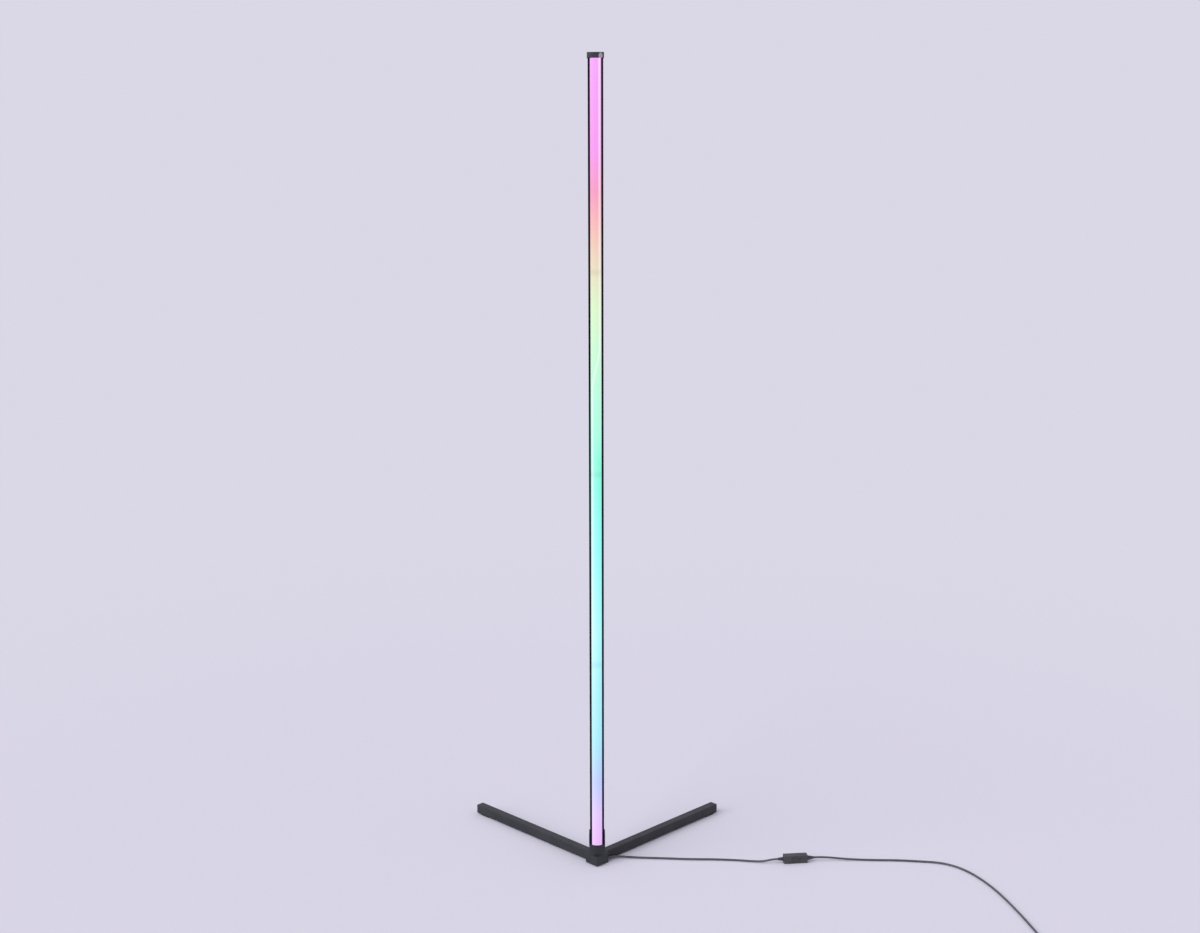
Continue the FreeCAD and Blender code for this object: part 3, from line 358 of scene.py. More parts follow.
print("along its whitest line the cover's glow is", painted_highlight_white, "white")

# %% [markdown]
# Below 0.8 m the right side of the cover is painted darker and deeper, as painted shade. A colour
# multiplied by itself is the same hue, only deeper, and the share of that grows to the right.
# Where two sections meet there is no emitter for 18 mm, and a dim band shows across the cover. It dims
# as well over its last millimetre before the channel's lips, which shade it.

# %% Painted shade on the right of the cover, and its joints
# Painted shade: below 0.8 m the glow grows darker and deeper towards the right side.
rightwards = add(opal_tree, "ShaderNodeMapRange", {"Value": axes["X"], "From Min": -4.0 * mm,
    "From Max": 7.0 * mm, "To Max": 0.7})
below_top = add(opal_tree, "ShaderNodeMapRange", {"Value": axes["Z"], "From Min": 0.70, "From Max": 0.80,
    "To Min": 1.0, "To Max": 0.0}, **softly)
above_foot = add(opal_tree, "ShaderNodeMapRange", {"Value": axes["Z"], "From Min": 0.10, "From Max": 0.45,
    "To Min": 0.35, "To Max": 1.0})
by_height = add(opal_tree, "ShaderNodeMath", {0: below_top, 1: above_foot}, operation="MULTIPLY")
painted_shade_share = add(opal_tree, "ShaderNodeMath", {0: rightwards, 1: by_height}, operation="MULTIPLY")
painted_shade_glow = add(opal_tree, "ShaderNodeMix", {0: painted_shade_share, 6: painted_highlight_glow.outputs[2], 7: glow}, data_type="RGBA",
    blend_type="MULTIPLY")
seams = [post_foot + section_length * count for count in (1, 2, 3)]
nearest = 1.0
for seam in seams:
    off_seam = add(opal_tree, "ShaderNodeMath", {0: axes["Z"], 1: seam * mm}, operation="SUBTRACT")
    away = add(opal_tree, "ShaderNodeMath", {0: off_seam}, operation="ABSOLUTE")
    nearest = add(opal_tree, "ShaderNodeMath", {0: away, 1: nearest}, operation="MINIMUM")
dim_band = add(opal_tree, "ShaderNodeMapRange", {"Value": nearest, "From Max": 9.0 * mm, "To Min": 0.12,
    "To Max": 0.0}, **softly)
sideways = add(opal_tree, "ShaderNodeMath", {0: axes["X"]}, operation="ABSOLUTE")
dim_edge = add(opal_tree, "ShaderNodeMapRange", {"Value": sideways, "From Min": 8.5 * mm,
    "From Max": 9.8 * mm, "To Max": 0.6}, **softly)
dimmed = add(opal_tree, "ShaderNodeMath", {0: dim_band, 1: dim_edge}, operation="MAXIMUM")
lit = add(opal_tree, "ShaderNodeMix", {0: dimmed, 6: painted_shade_glow.outputs[2], 7: srgb("#3A3342")},
    data_type="RGBA")
body_colour = add(opal_tree, "ShaderNodeMix", {0: 0.78, 6: glow, 7: (0.0, 0.0, 0.0, 1.0)}, data_type="RGBA")
opal_tree.links.new(body_colour.outputs[2], opal_shader.inputs["Base Color"])
opal_tree.links.new(lit.outputs[2], opal_shader.inputs["Emission Color"])
opal_shader.inputs["Emission Strength"].default_value = 0.8
opal_shader.inputs["Roughness"].default_value = 0.32
opal_shader.inputs["IOR"].default_value = 1.58
print("the cover's joints are at", *seams, "mm")

# %% [markdown]
# Above the cover's painted highlight the top cap's front carries a painted highlight too: a patch
# about 6 mm wide glows a neutral grey and fades at its edge, in place of a reflection; the rest of
# the cap is black. The distance from the patch's middle, counted in its half sizes, draws it.

# %% Top cap with a painted highlight
cap_with_painted_highlight = finish("spark_textured_black_abs_cap_painted_highlight", ("#222224", "#28282A"), 18, 0.44, 0.45, 0.03, spread=0.08)
cap_tree = cap_with_painted_highlight.node_tree
cap_shader = cap_tree.nodes["Principled BSDF"]
cap_spot = own_place(cap_tree)
from_patch = add(cap_tree, "ShaderNodeVectorMath", {0: cap_spot, 1: (8.3 * mm, 0.0, 1394.3 * mm)},
    operation="SUBTRACT")
in_half_sizes = add(cap_tree, "ShaderNodeVectorMath", {0: from_patch,
    1: (1 / (3.5 * mm), 0.0, 1 / (5.2 * mm))}, operation="MULTIPLY")
patch_reach = add(cap_tree, "ShaderNodeVectorMath", {0: in_half_sizes}, operation="LENGTH")
patch_fade = add(cap_tree, "ShaderNodeMapRange", {"Value": patch_reach.outputs["Value"], "From Min": 0.7,
    "From Max": 1.1, "To Min": 1.0, "To Max": 0.0}, **softly)
front_wall = add(cap_tree, "ShaderNodeMath", {0: own_axes(cap_tree)["Y"], 1: -9.0 * mm},
    operation="LESS_THAN")
patch = add(cap_tree, "ShaderNodeMath", {0: patch_fade, 1: front_wall}, operation="MULTIPLY")
# Painted highlight: the cap's front glows grey in a patch, though the cap is no lamp.
painted_highlight_grey = add(cap_tree, "ShaderNodeMix", {0: patch, 6: (0.0, 0.0, 0.0, 1.0), 7: srgb("#8C8991")},
    data_type="RGBA")
cap_tree.links.new(painted_highlight_grey.outputs[2], cap_shader.inputs["Emission Color"])
cap_shader.inputs["Emission Strength"].default_value = 1.0

# %% [markdown]
# ## Circuit boards
# The light strip's board is a thin copper laminate under a white mask, with two copper rails that feed
# the emitters. The distance from the board's middle draws them. The control's board is green, with fine
# tracks: a wave texture's bands, cut sharp by a colour ramp.

# %% Circuit boards
def overpaint(material, share, code):
    """Covers a finish with another colour wherever the share is 1."""
    tree = material.node_tree
    shader = tree.nodes["Principled BSDF"]
    bare = shader.inputs["Base Color"].links[0].from_socket
    covered = add(tree, "ShaderNodeMix", {0: share, 6: bare, 7: srgb(code)}, data_type="RGBA")
    tree.links.new(covered.outputs[2], shader.inputs["Base Color"])


strip_board = finish("white_masked_strip_board", ("#E6E5DF", "#F0EFEA"), 7, 0.38, 0.4, 0.006)
strip_tree = strip_board.node_tree
from_middle = add(strip_tree, "ShaderNodeMath", {0: own_axes(strip_tree)["X"]}, operation="ABSOLUTE")
on_rail = add(strip_tree, "ShaderNodeMath", {0: from_middle, 1: 3.9 * mm, 2: 0.5 * mm}, operation="COMPARE")
overpaint(strip_board, on_rail, "#D8C9A4")

green_board = finish("green_glass_epoxy_board", ("#1E5A35", "#24663D"), 6, 0.34, 0.5, 0.01)
board_tree = green_board.node_tree
board_shader = board_tree.nodes["Principled BSDF"]
tracks = add(board_tree, "ShaderNodeTexWave", {"Vector": add(board_tree,
    "ShaderNodeTexCoord").outputs["Object"], "Scale": 1 / (6 * mm), "Distortion": 6.0, "Detail": 0.0},
    bands_direction="Z")
track_colour = add(board_tree, "ShaderNodeValToRGB", {"Fac": tracks.outputs["Fac"]},
    stops=[(0.78, "#1E5A35"), (0.82, "#3E8A55")])
board_tree.links.new(track_colour.outputs["Color"], board_shader.inputs["Base Color"])

# %% [markdown]
# ## Dressing the solids
# The solid model names a finish for each of its parts. A solid whose shape is already right stays and
# takes the real surface into its slots. Three caps have a finish of their own.

# %% Dress the solids
finishes = {
    "powder_coat": powder_coat, "anodised_channel": anodised_aluminium, "mill_aluminium": mill_aluminium,
    "opal_diffuser": opal, "strip_board": strip_board, "led_body": filled_plastic,
    "white_connector": natural_nylon, "black_plastic": black_abs, "foot_rubber": foot_rubber,
    "black_screw": black_oxide_steel, "lead_sheath": pvc_sheath, "case_plastic": case_abs,
    "button_plastic": button_abs, "circuit_board": green_board, "component_black": black_epoxy,
    "plug_steel": nickel_steel, "tongue_plastic": filled_plastic, "contact_gold": gold_flash}
own_finishes = {"leg_cap_left": leg_end_abs, "leg_cap_right": leg_end_abs, "top_cap": cap_with_painted_highlight}
for name, node in nodes.items():
    for holder in node.material_slots:
        holder.material = own_finishes.get(name, finishes[holder.material.name])
print("dressed", len(nodes), "solids, which use", len(finishes), "slots")


# %% [markdown]
# ## Joints of the cover
# The covers of two sections meet in a joint 0.6 mm wide. A thin milky bead fills it, or the dark inside
# of the post would show through as a line. A bead has the cover's own outline, so it is grown from the
# end face of the cover below: a copy of the cover is merged, all but its top face is taken away, and
# that face is raised by the joint's width.

# %% Beads in the cover's joints
play = 0.01 * mm
for number, seam in enumerate(seams, start=1):
    shape = bmesh.new()
    shape.from_mesh(nodes["diffuser_%d" % number].data)
    bmesh.ops.remove_doubles(shape, verts=shape.verts, dist=0.001 * mm)
    top = max(corner.co.z for corner in shape.verts)
    below = [face for face in shape.faces if min(corner.co.z for corner in face.verts) < top - play]
    bmesh.ops.delete(shape, geom=below, context="FACES")
    grown = bmesh.ops.extrude_face_region(shape, geom=shape.faces[:], use_keep_orig=True)
    raised = [part for part in grown["geom"] if isinstance(part, bmesh.types.BMVert)]
    bmesh.ops.translate(shape, verts=raised, vec=(0.0, 0.0, seam * mm - top - 2 * play))
    bmesh.ops.translate(shape, verts=shape.verts, vec=(0.0, 0.0, play))
    bmesh.ops.recalc_face_normals(shape, faces=shape.faces)
    bead_mesh = bpy.data.meshes.new("cover_bead_%d" % number)
    shape.to_mesh(bead_mesh)
    shape.free()
    bead_mesh.materials.append(opal)
    bead = put("cover_bead_%d" % number, bead_mesh)
    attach(bead, "root")
    print(bead.name, "has", len(bead_mesh.polygons), "faces at height %.2f mm" % (top / mm))


# %% [markdown]
# ## Geometry Nodes for what repeats
# Emitters, screws and ribs repeat, so they are made by small node trees whose sizes are named inputs.
# Each tree ends in Realize Instances and Set Material, and its result is turned into a plain mesh.

# %% Helpers for Geometry Nodes
def start_tree(name, sizes):
    """A tree with a geometry, some named sizes and a material as its inputs."""
    tree = bpy.data.node_groups.new(name, "GeometryNodeTree")
    tree.interface.new_socket("Geometry", in_out="INPUT", socket_type="NodeSocketGeometry")
    for size, kind in sizes.items():
        tree.interface.new_socket(size, in_out="INPUT", socket_type="NodeSocket" + kind)
    tree.interface.new_socket("Material", in_out="INPUT", socket_type="NodeSocketMaterial")
    tree.interface.new_socket("Geometry", in_out="OUTPUT", socket_type="NodeSocketGeometry")
    return tree, add(tree, "NodeGroupInput").outputs


def end_tree(tree, geometry, given):
    """Makes the instances real, gives them their material and hands them out."""
    real = add(tree, "GeometryNodeRealizeInstances", {"Geometry": geometry})
    dressed = add(tree, "GeometryNodeSetMaterial", {"Geometry": real, "Material": given["Material"]})
    add(tree, "NodeGroupOutput", {"Geometry": dressed})
    print(tree.name, "has", len(tree.nodes), "nodes")


def soften(mesh):
    """Shades a mesh smooth and keeps edges over 32 degrees sharp."""
    mesh.shade_smooth()
    mesh.set_sharp_from_angle(angle=math.radians(32))


def grow(name, tree, values, place=Matrix.Identity(4), points=()):
    """Runs a tree with these inputs and keeps the result as a plain mesh in its place."""
    seeds = bpy.data.meshes.new(name)
    seeds.from_pydata([Vector(point) * mm for point in points], [], [])
    piece = put(name, seeds)
    modifier = piece.modifiers.new("grow", "NODES")
    modifier.node_group = tree
    for socket in tree.interface.items_tree:
        if socket.in_out == "INPUT" and socket.name in values:
            modifier[socket.identifier] = values[socket.name]
    bpy.context.view_layer.update()
    grown = piece.evaluated_get(bpy.context.evaluated_depsgraph_get())
    mesh = bpy.data.meshes.new_from_object(grown)
    piece.modifiers.remove(modifier)
    piece.data = mesh
    mesh.transform(place)
    soften(mesh)
    print(name, "has", len(mesh.polygons), "faces")
    return piece


# %% [markdown]
# ### Light emitters
# Each section of the post has twenty emitters: white packages 5 mm square with a round well of yellow
# phosphor. A cube with a shallow round cut is one of them, and a line of points repeats it.

# %% Light emitters
emitter_package = finish("emitter_package", ("#E6E4DC", "#F1EFE8"), 3, 0.4, 0.3, 0.006)
package_tree = emitter_package.node_tree
in_well = add(package_tree, "ShaderNodeMath", {0: own_axes(package_tree)["Y"], 1: -3.9 * mm, 2: 0.1 * mm},
    operation="COMPARE")
overpaint(emitter_package, in_well, "#E8C33C")

emitter_tree, given = start_tree("emitter_row", {"Count": "Int", "Pitch": "Vector", "Package": "Vector",
    "Well radius": "Float", "Well depth": "Float"})
package = add(emitter_tree, "GeometryNodeMeshCube", {"Size": given["Package"]})
half_way = add(emitter_tree, "ShaderNodeVectorMath", {0: given["Package"], 1: (0.0, -0.5, 0.0)},
    operation="MULTIPLY")
bore = add(emitter_tree, "GeometryNodeMeshCylinder", {"Vertices": 12, "Radius": given["Well radius"],
    "Depth": given["Well depth"]})
turned_bore = add(emitter_tree, "GeometryNodeTransform", {"Geometry": bore, "Translation": half_way,
    "Rotation": (math.radians(90), 0.0, 0.0)})
welled = add(emitter_tree, "GeometryNodeMeshBoolean", {"Mesh 1": package, "Mesh 2": turned_bore},
    operation="DIFFERENCE")
row = add(emitter_tree, "GeometryNodeMeshLine", {"Count": given["Count"], "Offset": given["Pitch"]})
emitters = add(emitter_tree, "GeometryNodeInstanceOnPoints", {"Points": row, "Instance": welled})
end_tree(emitter_tree, emitters, given)

# %% [markdown]
# The rows follow from the sections: 338 mm each, less a small gap at the seam and 9 mm of bare board at
# either end, divided into twenty equal steps.

# %% Rows of emitters
per_section = 20
bare_end = 9.0
for number in range(1, 5):
    bottom = post_foot + (number - 1) * section_length
    seam_gap = 0.0 if number == 4 else 0.3
    pitch = (section_length - seam_gap - 2 * bare_end) / per_section
    centre = Vector((0.0, -3.55, bottom + bare_end + pitch / 2)) * mm
    emitter_row = grow("emitters_%d" % number, emitter_tree,
        {"Count": per_section, "Pitch": (0.0, 0.0, pitch * mm), "Package": (5.0 * mm, 1.5 * mm, 5.0 * mm),
        "Well radius": 2.0 * mm, "Well depth": 0.8 * mm, "Material": emitter_package},
        Matrix.Translation(centre))
    settle(emitter_row, "led_body", "led_chips_%d" % number)


# %% [markdown]
# ### Screws
# Button-head screws with a hexagon socket hold the post's sections to the joiners inside, two by two up
# the back. The leg and cover screws are countersunk, and the control's are small pan heads. A screw is
# turned on a lathe, so its mesh is a stack of rings. The socket's rings are hexagons with as many
# points as the round ones, so the stack joins up without a gap.

# %% Lathe for screws and other turned shapes
def stacked(name, rings):
    """A closed shape through rings with the same number of points each."""
    count = len(rings[0])
    last = (len(rings) - 1) * count
    faces = [tuple(reversed(range(count)))]
    for low in range(0, last, count):
        for step in range(count):
            after = (step + 1) % count
            faces.append((low + step, low + after, low + count + after, low + count + step))
    faces.append(tuple(range(last, last + count)))
    mesh = bpy.data.meshes.new(name)
    mesh.from_pydata([corner for ring in rings for corner in ring], [], faces)
    soften(mesh)
    print(name, "is stacked from", len(rings), "rings")
    return put(name, mesh)


def turned(name, profile, sides=24):
    """A turned shape from rings of (radius, height in mm) or (radius, height, "hex")."""
    rings = []
    for radius, rise, *shape in profile:
        rings.append([])
        for step in range(sides):
            angle = 2 * math.pi * step / sides
            flat = math.cos(math.pi / 6) / math.cos((angle % (math.pi / 3)) - math.pi / 6)
            reach = radius * (flat if shape else 1.0) * mm
            rings[-1].append((reach * math.cos(angle), reach * math.sin(angle), rise * mm))
    return stacked(name, rings)


def threaded(radius, low, high, pitch):
    """The rings of a threaded shank, from its tip up: a crest and a root for each pitch."""
    rings = [(0.7 * radius, low)]
    for turn in range(int((high - low) / pitch)):
        rings += [(radius, low + (turn + 0.35) * pitch), (0.88 * radius, low + (turn + 0.85) * pitch)]
    return rings + [(radius, high - 0.1)]


button_head = threaded(1.5, -5.5, 0.0, 0.5) + [
    (2.55, 0.0), (2.7, 0.15), (2.7, 0.7), (2.52, 1.12), (2.1, 1.42), (1.5, 1.57), (1.08, 1.6),
    (0.98, 1.55, "hex"), (0.95, 0.5, "hex")]
leg_head = threaded(2.0, -11.0, -2.0, 0.7) + [(2.0, -2.0), (3.6, -0.1), (3.65, 0.0), (1.7, 0.0),
    (1.5, -0.1, "hex"), (1.45, -1.3, "hex")]
cover_head = threaded(1.2, -7.0, -2.0, 0.45) + [(1.2, -2.0), (2.25, -0.1), (2.28, 0.0), (1.1, 0.0),
    (0.95, -0.1, "hex"), (0.9, -1.1, "hex")]
case_head = threaded(0.95, -8.0, 0.0, 0.4) + [(1.7, 0.0), (1.8, 0.1), (1.8, 0.75), (1.6, 1.02), (1.0, 1.1),
    (0.82, 1.05, "hex"), (0.8, 0.4, "hex")]

# %% [markdown]
# Whoever drives a screw home stops at any angle, so the tree turns each one by a random amount about
# its own axis, with a fixed seed.

# %% Tree that sets screws on points
screw_tree, given = start_tree("set_screws", {"Screw": "Object", "Size": "Float", "Twist": "Float",
    "Seed": "Int"})
pattern = add(screw_tree, "GeometryNodeObjectInfo", {"Object": given["Screw"]})
twist = add(screw_tree, "FunctionNodeRandomValue", {3: given["Twist"], "Seed": given["Seed"]},
    data_type="FLOAT")
turn = add(screw_tree, "FunctionNodeAxisAngleToRotation", {"Axis": (0.0, 0.0, 1.0),
    "Angle": twist.outputs[1]})
screws = add(screw_tree, "GeometryNodeInstanceOnPoints", {"Points": given["Geometry"],
    "Instance": pattern.outputs["Geometry"], "Rotation": turn, "Scale": given["Size"]})
end_tree(screw_tree, screws, given)


def set_screws(name, rings, points, place, replaced, seed):
    """Screws of one pattern on points given in the place's own axes, Z being the way their heads face."""
    pattern = turned(name + "_pattern", rings)
    piece = grow(name, screw_tree, {"Screw": pattern, "Size": 1.0, "Twist": math.pi / 3, "Seed": seed,
        "Material": black_oxide_steel}, place, points)
    bpy.data.objects.remove(pattern)
    settle(piece, "black_screw", replaced)


# %% [markdown]
# The post's screws face backwards, 13 mm apart, 42 mm above the foot of the post, 22 mm each side of a
# seam and 9 mm under the top. The leg and cover screws face the floor.

# %% Screws of the post and base
facing_back = Matrix.Rotation(math.radians(-90), 4, "X")
heights = [post_foot + 42.0, post_foot + 4 * section_length - 9.0]
heights += [seam + side * 22.0 for seam in seams for side in (-1, 1)]
back_points = [facing_back.inverted() @ Vector((side * 6.5, 10.5, rise)) for rise in heights
    for side in (-1, 1)]
set_screws("screws_of_post", button_head, back_points, facing_back, "post_screws", 3)

facing_down = Matrix.Rotation(math.radians(180), 4, "X")
leg_points = []
for side in (-1, 1):
    for reach in (22.8 * math.sqrt(0.5), 34.8 * math.sqrt(0.5)):
        leg_points.append(facing_down.inverted() @ Vector((side * reach, reach, 1.5)))
set_screws("screws_of_legs", leg_head, leg_points, facing_down, "leg_screws", 5)
cover_points = [facing_down.inverted() @ Vector((0.0, side * 9.6 * math.sqrt(2), 1.5)) for side in (-1, 1)]
set_screws("screws_of_cover", cover_head, cover_points, facing_down, "cover_screws", 7)

# %% [markdown]
# ## The in-line control
# The control is a small two-part ABS case with an oblong push button in its front. Its halves meet in a
# fine line round the middle, which is drawn in the material: a dark groove 0.3 mm wide, in the case's
# own turned axes. The case is turned by six degrees, and a Mapping node turns the pattern with it.

# %% Control: place, parting line and screws
control_turn = math.radians(6)
control_centre = Vector((356.9, -1.3, 7.5)) * mm
control_place = Matrix.Translation(control_centre) @ Matrix.Rotation(control_turn, 4, "Z")
case_tree = case_abs.node_tree
case_where = add(case_tree, "ShaderNodeMapping", {"Vector": add(case_tree,
    "ShaderNodeTexCoord").outputs["Object"], "Location": control_centre,
    "Rotation": (0.0, 0.0, control_turn)}, vector_type="TEXTURE")
case_axes = add(case_tree, "ShaderNodeSeparateXYZ", {"Vector": case_where})
parting = add(case_tree, "ShaderNodeMath", {0: case_axes.outputs["Y"], 1: 0.0, 2: 0.15 * mm},
    operation="COMPARE")
overpaint(case_abs, parting, "#0C0C0D")

case_back = control_place @ facing_back
case_points = [(-16.4, -3.8, 5.2), (16.4, 3.8, 5.2)]
set_screws("screws_of_control", case_head, case_points, case_back, "control_screws", 11)

# %% [markdown]
# ### Strain reliefs
# Where the lead enters the case, moulded sleeves keep it from kinking. The one on the lamp's side has
# rings with gaps between them, so that it bends like a bellows. The one on the supply side is a long
# cone with ribs along it. One tree makes both: a circle swept along a line, whose size follows the
# taper and the rings, and whose outline may be fluted.

# %% Tree for ribbed sleeves
sleeve_tree, given = start_tree("ribbed_sleeve", {
    "Length": "Vector", "Base radius": "Float", "Tip radius": "Float", "Core radius": "Float",
    "Rings": "Float", "Ring share": "Float", "Flutes": "Float", "Flute depth": "Float"})
line = add(sleeve_tree, "GeometryNodeCurvePrimitiveLine", {"End": given["Length"]})
stations = add(sleeve_tree, "GeometryNodeResampleCurve", {"Curve": line, "Count": 97})
along = add(sleeve_tree, "GeometryNodeSplineParameter").outputs["Factor"]
taper = add(sleeve_tree, "ShaderNodeMapRange", {"Value": along, "To Min": given["Base radius"],
    "To Max": given["Tip radius"]})
ring_count = add(sleeve_tree, "ShaderNodeMath", {0: along, 1: given["Rings"]}, operation="MULTIPLY")
in_ring = add(sleeve_tree, "ShaderNodeMath", {0: ring_count}, operation="FRACT")
gap = add(sleeve_tree, "ShaderNodeMath", {0: in_ring, 1: given["Ring share"]}, operation="GREATER_THAN")
size = add(sleeve_tree, "ShaderNodeMix", {0: gap, 2: taper, 3: given["Core radius"]}, data_type="FLOAT")
outline = add(sleeve_tree, "GeometryNodeCurvePrimitiveCircle", {"Resolution": 48, "Radius": 1.0})
round_it = add(sleeve_tree, "GeometryNodeSplineParameter").outputs["Factor"]
lobes = add(sleeve_tree, "ShaderNodeMath", {0: round_it, 1: given["Flutes"]}, operation="MULTIPLY")
wave = add(sleeve_tree, "ShaderNodeMath", {0: lobes, 1: 0.5}, operation="PINGPONG")
cut = add(sleeve_tree, "ShaderNodeMath", {0: wave, 1: given["Flute depth"]}, operation="MULTIPLY")
shrink = add(sleeve_tree, "ShaderNodeMath", {0: 1.0, 1: cut}, operation="SUBTRACT")
spot = add(sleeve_tree, "GeometryNodeInputPosition").outputs[0]
fluted_spot = add(sleeve_tree, "ShaderNodeVectorMath", {0: spot, "Scale": shrink}, operation="SCALE")
fluted = add(sleeve_tree, "GeometryNodeSetPosition", {"Geometry": outline, "Position": fluted_spot})
swept = add(sleeve_tree, "GeometryNodeCurveToMesh", {"Curve": stations, "Profile Curve": fluted,
    "Scale": size, "Fill Caps": True})
end_tree(sleeve_tree, swept, given)

# %% [markdown]
# Behind the case's wall each sleeve has a neck and a flange, which hold it in. They are turned shapes,
# joined to the sleeve so that each relief is one piece.

# %% Strain reliefs
def join(name, first, *others):
    """Joins meshes into the first of them and names it."""
    together = [first, *others]
    with bpy.context.temp_override(active_object=first, selected_editable_objects=together):
        bpy.ops.object.join()
    first.name = name
    return first


def relief(name, place, sizes, replaced):
    """A sleeve with its neck and flange, made along X from the case's wall."""
    sleeve = grow(name, sleeve_tree, {**sizes, "Core radius": 2.3 * mm, "Tip radius": 2.3 * mm,
        "Material": relief_pvc}, place)
    neck = turned(name + "_neck", [(3.5, -3.0), (3.7, -2.8), (3.7, -1.5), (2.5, -1.5), (2.5, 0.2)])
    neck.data.transform(place @ Matrix.Rotation(math.radians(90), 4, "Y"))
    neck.data.materials.append(relief_pvc)
    settle(join(name, sleeve, neck), "lead_sheath", replaced)


case_end = 21.7 * mm
lamp_side = control_place @ Matrix.Translation((-case_end, 0, 0)) @ Matrix.Rotation(math.pi, 4, "Z")
supply_side = control_place @ Matrix.Translation((case_end, 0, 0))
relief("relief_lamp_side", lamp_side,
       {"Length": (10.4 * mm, 0, 0), "Base radius": 3.9 * mm, "Rings": 4.0, "Ring share": 0.62,
        "Flutes": 0.0, "Flute depth": 0.0}, "control_relief_lamp")
relief("relief_supply_side", supply_side,
       {"Length": (11.5 * mm, 0, 0), "Base radius": 4.8 * mm, "Rings": 1.0, "Ring share": 1.0,
        "Flutes": 8.0, "Flute depth": 0.36}, "control_relief_supply")

# %% [markdown]
# ## The coil's strap
# A woven strap goes once round the turns and closes on itself. It is a flat strip bent round the
# bundle, so its mesh follows a rounded rectangle and ends in a tail on top.

# %% Strap round the coil
strap_turn = math.radians(160)
strap_weave = finish("woven_black_nylon_strap", ("#1A1A1C", "#232325"), 5, 0.75, 0.5, 0.02)
strap_tree = strap_weave.node_tree
strap_shader = strap_tree.nodes["Principled BSDF"]
strap_where = add(strap_tree, "ShaderNodeMapping", {"Vector": add(strap_tree,
    "ShaderNodeTexCoord").outputs["Object"], "Rotation": (0.0, 0.0, strap_turn)}, vector_type="TEXTURE")
# Real threads lie 0.4 mm apart; they are drawn 1.6 mm apart so that they still show.
warp, weft = [add(strap_tree, "ShaderNodeTexWave", {"Vector": strap_where, "Scale": 1 / (5.0 * mm)},
    bands_direction=way).outputs["Fac"] for way in "YX"]
crossing = add(strap_tree, "ShaderNodeMath", {0: warp, 1: weft}, operation="MAXIMUM")
weave_bumps = add(strap_tree, "ShaderNodeBump", {"Height": crossing, "Distance": 0.12 * mm})
strap_tree.links.new(weave_bumps.outputs[0], strap_shader.inputs["Normal"])

strap_place = Matrix.Translation(coil_centre.to_3d() * mm) @ Matrix.Rotation(strap_turn, 4, "Z")
inner, outer, low, high = 10.4, 27.6, 0.4, 9.7
fold_radius = 2.0


def strap_corner(x, z, first_degrees):
    """Five points round a corner whose centre is at x, z."""
    return [(x + fold_radius * math.cos(math.radians(first_degrees + step * 22.5)),
        z + fold_radius * math.sin(math.radians(first_degrees + step * 22.5))) for step in range(5)]


loop = [(outer - 3.0, high)]
loop += [(inner + 9.0, high - 0.25)]
loop += strap_corner(inner + fold_radius, high - fold_radius, 90)
loop += strap_corner(inner + fold_radius, low + fold_radius, 180)
loop += strap_corner(outer - fold_radius, low + fold_radius, 270)
loop += strap_corner(outer - fold_radius, high + 0.8 - fold_radius, 0)
loop += [(outer - 5.0, high + 0.82), (outer - 8.5, high + 0.8), (outer - 10.5, high + 1.1)]
half_width = 4.0
strap_mesh = bpy.data.meshes.new("coil_strap")
strap_mesh.from_pydata([(x * mm, y * mm, z * mm) for x, z in loop
    for y in (-half_width, -half_width / 3, half_width / 3, half_width)], [],
    [(4 * row + column, 4 * row + column + 1, 4 * row + column + 5, 4 * row + column + 4)
    for row in range(len(loop) - 1) for column in range(3)])
coil_strap = put("coil_strap", strap_mesh)
strap_mesh.transform(strap_place)
strap_mesh.materials.append(strap_weave)
thicken = coil_strap.modifiers.new("thickness", "SOLIDIFY")
thicken.thickness = 0.8 * mm
thicken.offset = 0.0
rounding = coil_strap.modifiers.new("edges", "BEVEL")
rounding.width = 0.2 * mm
rounding.segments = 2
settle(coil_strap, "black_plastic", "coil_tie")


# %% [markdown]
# ## The plug
# The lead ends in a flat power plug: a moulded grip with finger ridges and its own ribbed sleeve, and a
# folded steel shell round a tongue with four gold contacts. The grip is lofted through rounded
# rectangles, which narrow at each ridge.

# %% Loft through rounded rectangles
def loft(name, sections, per_corner=5):
    """A closed shape along X through sections of (x, width, height, corner radius) in mm."""
    rings = []
    for x, width, height, radius in sections:
        rings.append([])
        for quarter in range(4):
            side_y = (1, -1, -1, 1)[quarter] * (width / 2 - radius)
            side_z = (1, 1, -1, -1)[quarter] * (height / 2 - radius)
            for step in range(per_corner):
                angle = (quarter + step / (per_corner - 1)) * math.pi / 2
                rings[-1].append((x * mm, (side_y + radius * math.cos(angle)) * mm,
                    (side_z + radius * math.sin(angle)) * mm))
    return stacked(name, rings)


# %% [markdown]
# The grip starts behind its sleeve, swells to full size, and dips by 0.6 mm on each side at four
# finger ridges. The sleeve comes from the same tree as the strain reliefs.

# %% Plug grip
plug_place = Matrix.Translation(plug_start * mm) @ Matrix.Rotation(plug_turn, 4, "Z")
grip_sections = [(8.6, 5.6, 5.0, 2.4), (9.0, 12.4, 6.4, 1.5), (9.4, 14.0, 7.3, 1.5), (10.2, 15.0, 8.0, 1.5)]
first_ridge, ridge_pitch = 13.0, 3.2
for ridge in range(4):
    start = first_ridge + ridge * ridge_pitch
    grip_sections += [(start, 15.0, 8.0, 1.5), (start + 0.4, 13.8, 8.0, 1.4), (start + 1.4, 13.8, 8.0, 1.4),
        (start + 1.8, 15.0, 8.0, 1.5)]
grip_sections += [(32.4, 15.0, 8.0, 1.5), (32.8, 14.7, 7.7, 1.4), (33.0, 14.2, 7.2, 1.2)]
grip = loft("plug_handle", grip_sections)
grip.data.materials.append(pvc_sheath)
grip.data.transform(plug_place)
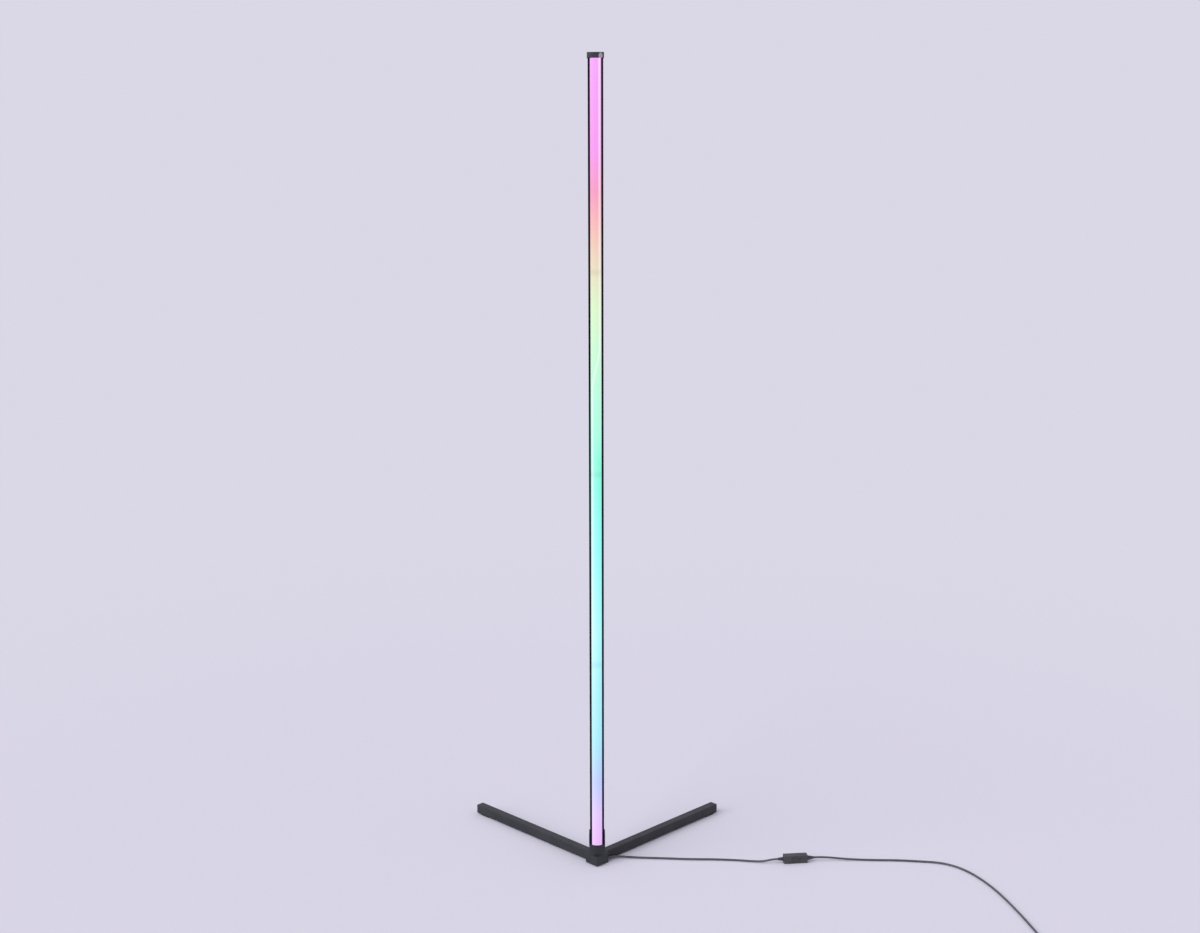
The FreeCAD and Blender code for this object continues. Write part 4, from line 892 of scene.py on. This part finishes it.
plug_sleeve = grow("plug_sleeve", sleeve_tree,
                   {"Length": (9.4 * mm, 0, 0), "Base radius": 2.3 * mm, "Tip radius": 2.9 * mm,
                    "Core radius": 2.1 * mm, "Rings": 4.0, "Ring share": 0.62, "Flutes": 0.0,
                    "Flute depth": 0.0, "Material": pvc_sheath}, plug_place)
settle(join("plug_handle", grip, plug_sleeve), "lead_sheath", "plug_grip")

# %% [markdown]
# ## The two stretches of the lead
# The first goes back into an object, the control; the second ends in the plug.

print("the lead runs in two stretches")

# %% [markdown]
# ## The studio
# The lamp stands on a pale lilac floor that runs into a background of the same colour. Near the lamp
# the floor is a plain matt surface and keeps the soft shadows; further out it fades into the
# background's colour, so that no horizon shows from any side. The background's colour is only for the
# camera and for reflections, and doesn't light the lamp.

# %% Floor
def seen_directly(tree):
    """1 for rays of the camera, of reflections and through glass, 0 for the rays that light the lamp."""
    ray = add(tree, "ShaderNodeLightPath").outputs
    seen = add(tree, "ShaderNodeMath", {0: ray["Is Camera Ray"], 1: ray["Is Glossy Ray"]},
        operation="MAXIMUM")
    seen = add(tree, "ShaderNodeMath", {0: seen, 1: ray["Is Transmission Ray"]}, operation="MAXIMUM")
    return seen.outputs[0]


background = "#DAD7E6"
floor_mesh = bpy.data.meshes.new("floor")
reach = 60
floor_mesh.from_pydata([(-reach, -reach, 0), (reach, -reach, 0), (reach, reach, 0), (-reach, reach, 0)], [],
    [(0, 1, 2, 3)])
floor = put("floor", floor_mesh)
floor.location.z = -0.5 * mm
floor_paint = bpy.data.materials.new("pale_matt_floor")
floor_paint.use_nodes = True
floor_tree = floor_paint.node_tree
matt = floor_tree.nodes["Principled BSDF"]
matt.inputs["Base Color"].default_value = srgb(background)
matt.inputs["Roughness"].default_value = 0.9
matt.inputs["Specular IOR Level"].default_value = 0.1
far_away = add(floor_tree, "ShaderNodeEmission", {"Color": srgb(background), "Strength": 1.0})
floor_spot = own_place(floor_tree)
distance = add(floor_tree, "ShaderNodeVectorMath", {0: floor_spot}, operation="LENGTH")
fade = add(floor_tree, "ShaderNodeMapRange", {"Value": distance.outputs["Value"], "From Min": 0.9,
    "From Max": 2.4}, **softly)
share = add(floor_tree, "ShaderNodeMath", {0: fade, 1: seen_directly(floor_tree)}, operation="MULTIPLY")
floor_mix = add(floor_tree, "ShaderNodeMixShader", {0: share, 1: matt, 2: far_away})
floor_tree.links.new(floor_mix.outputs[0], floor_tree.nodes["Material Output"].inputs["Surface"])
floor_mesh.materials.append(floor_paint)
print("floor and background", background)

# %% [markdown]
# ## Light
# A broad key light comes from the left in front of the lamp, a weaker one from the right, and the world
# fills the rest, so that shadows stay soft and short. Both are sun lamps with a wide angle: they are
# even over the whole height of the lamp, and as soft as a large light box. Together they bring a level
# surface to about the colour that it is written in.

# %% World and lamps
world = bpy.data.worlds.new("studio")
bpy.context.scene.world = world
world.use_nodes = True
sky = world.node_tree
sky.nodes.clear()
soft_fill = add(sky, "ShaderNodeBackground", {"Color": srgb("#F3F2F7"), "Strength": 0.64})
backdrop = add(sky, "ShaderNodeBackground", {"Color": srgb(background), "Strength": 1.0})
sky_mix = add(sky, "ShaderNodeMixShader", {0: seen_directly(sky), 1: soft_fill, 2: backdrop})
add(sky, "ShaderNodeOutputWorld", {"Surface": sky_mix})


def soft_lamp(name, place, spread, strength):
    """A large, far and even soft light that shines from a place towards the lamp."""
    data = bpy.data.lights.new(name, "SUN")
    data.angle = math.radians(spread)
    data.energy = strength
    lamp = put(name, data)
    lamp.location = place
    lamp.rotation_euler = (-Vector(place)).to_track_quat("-Z", "Y").to_euler()
    print(name, "shines with strength", strength)


soft_lamp("key", (-3.0, -2.2, 2.5), 50.0, 2.05)
soft_lamp("fill", (2.8, -1.6, 2.2), 60.0, 0.25)

# %% [markdown]
# ## Colour management
# Colours are shown as they are, with the Standard view.

# %% Colour management
bpy.context.scene.view_settings.view_transform = "Standard"
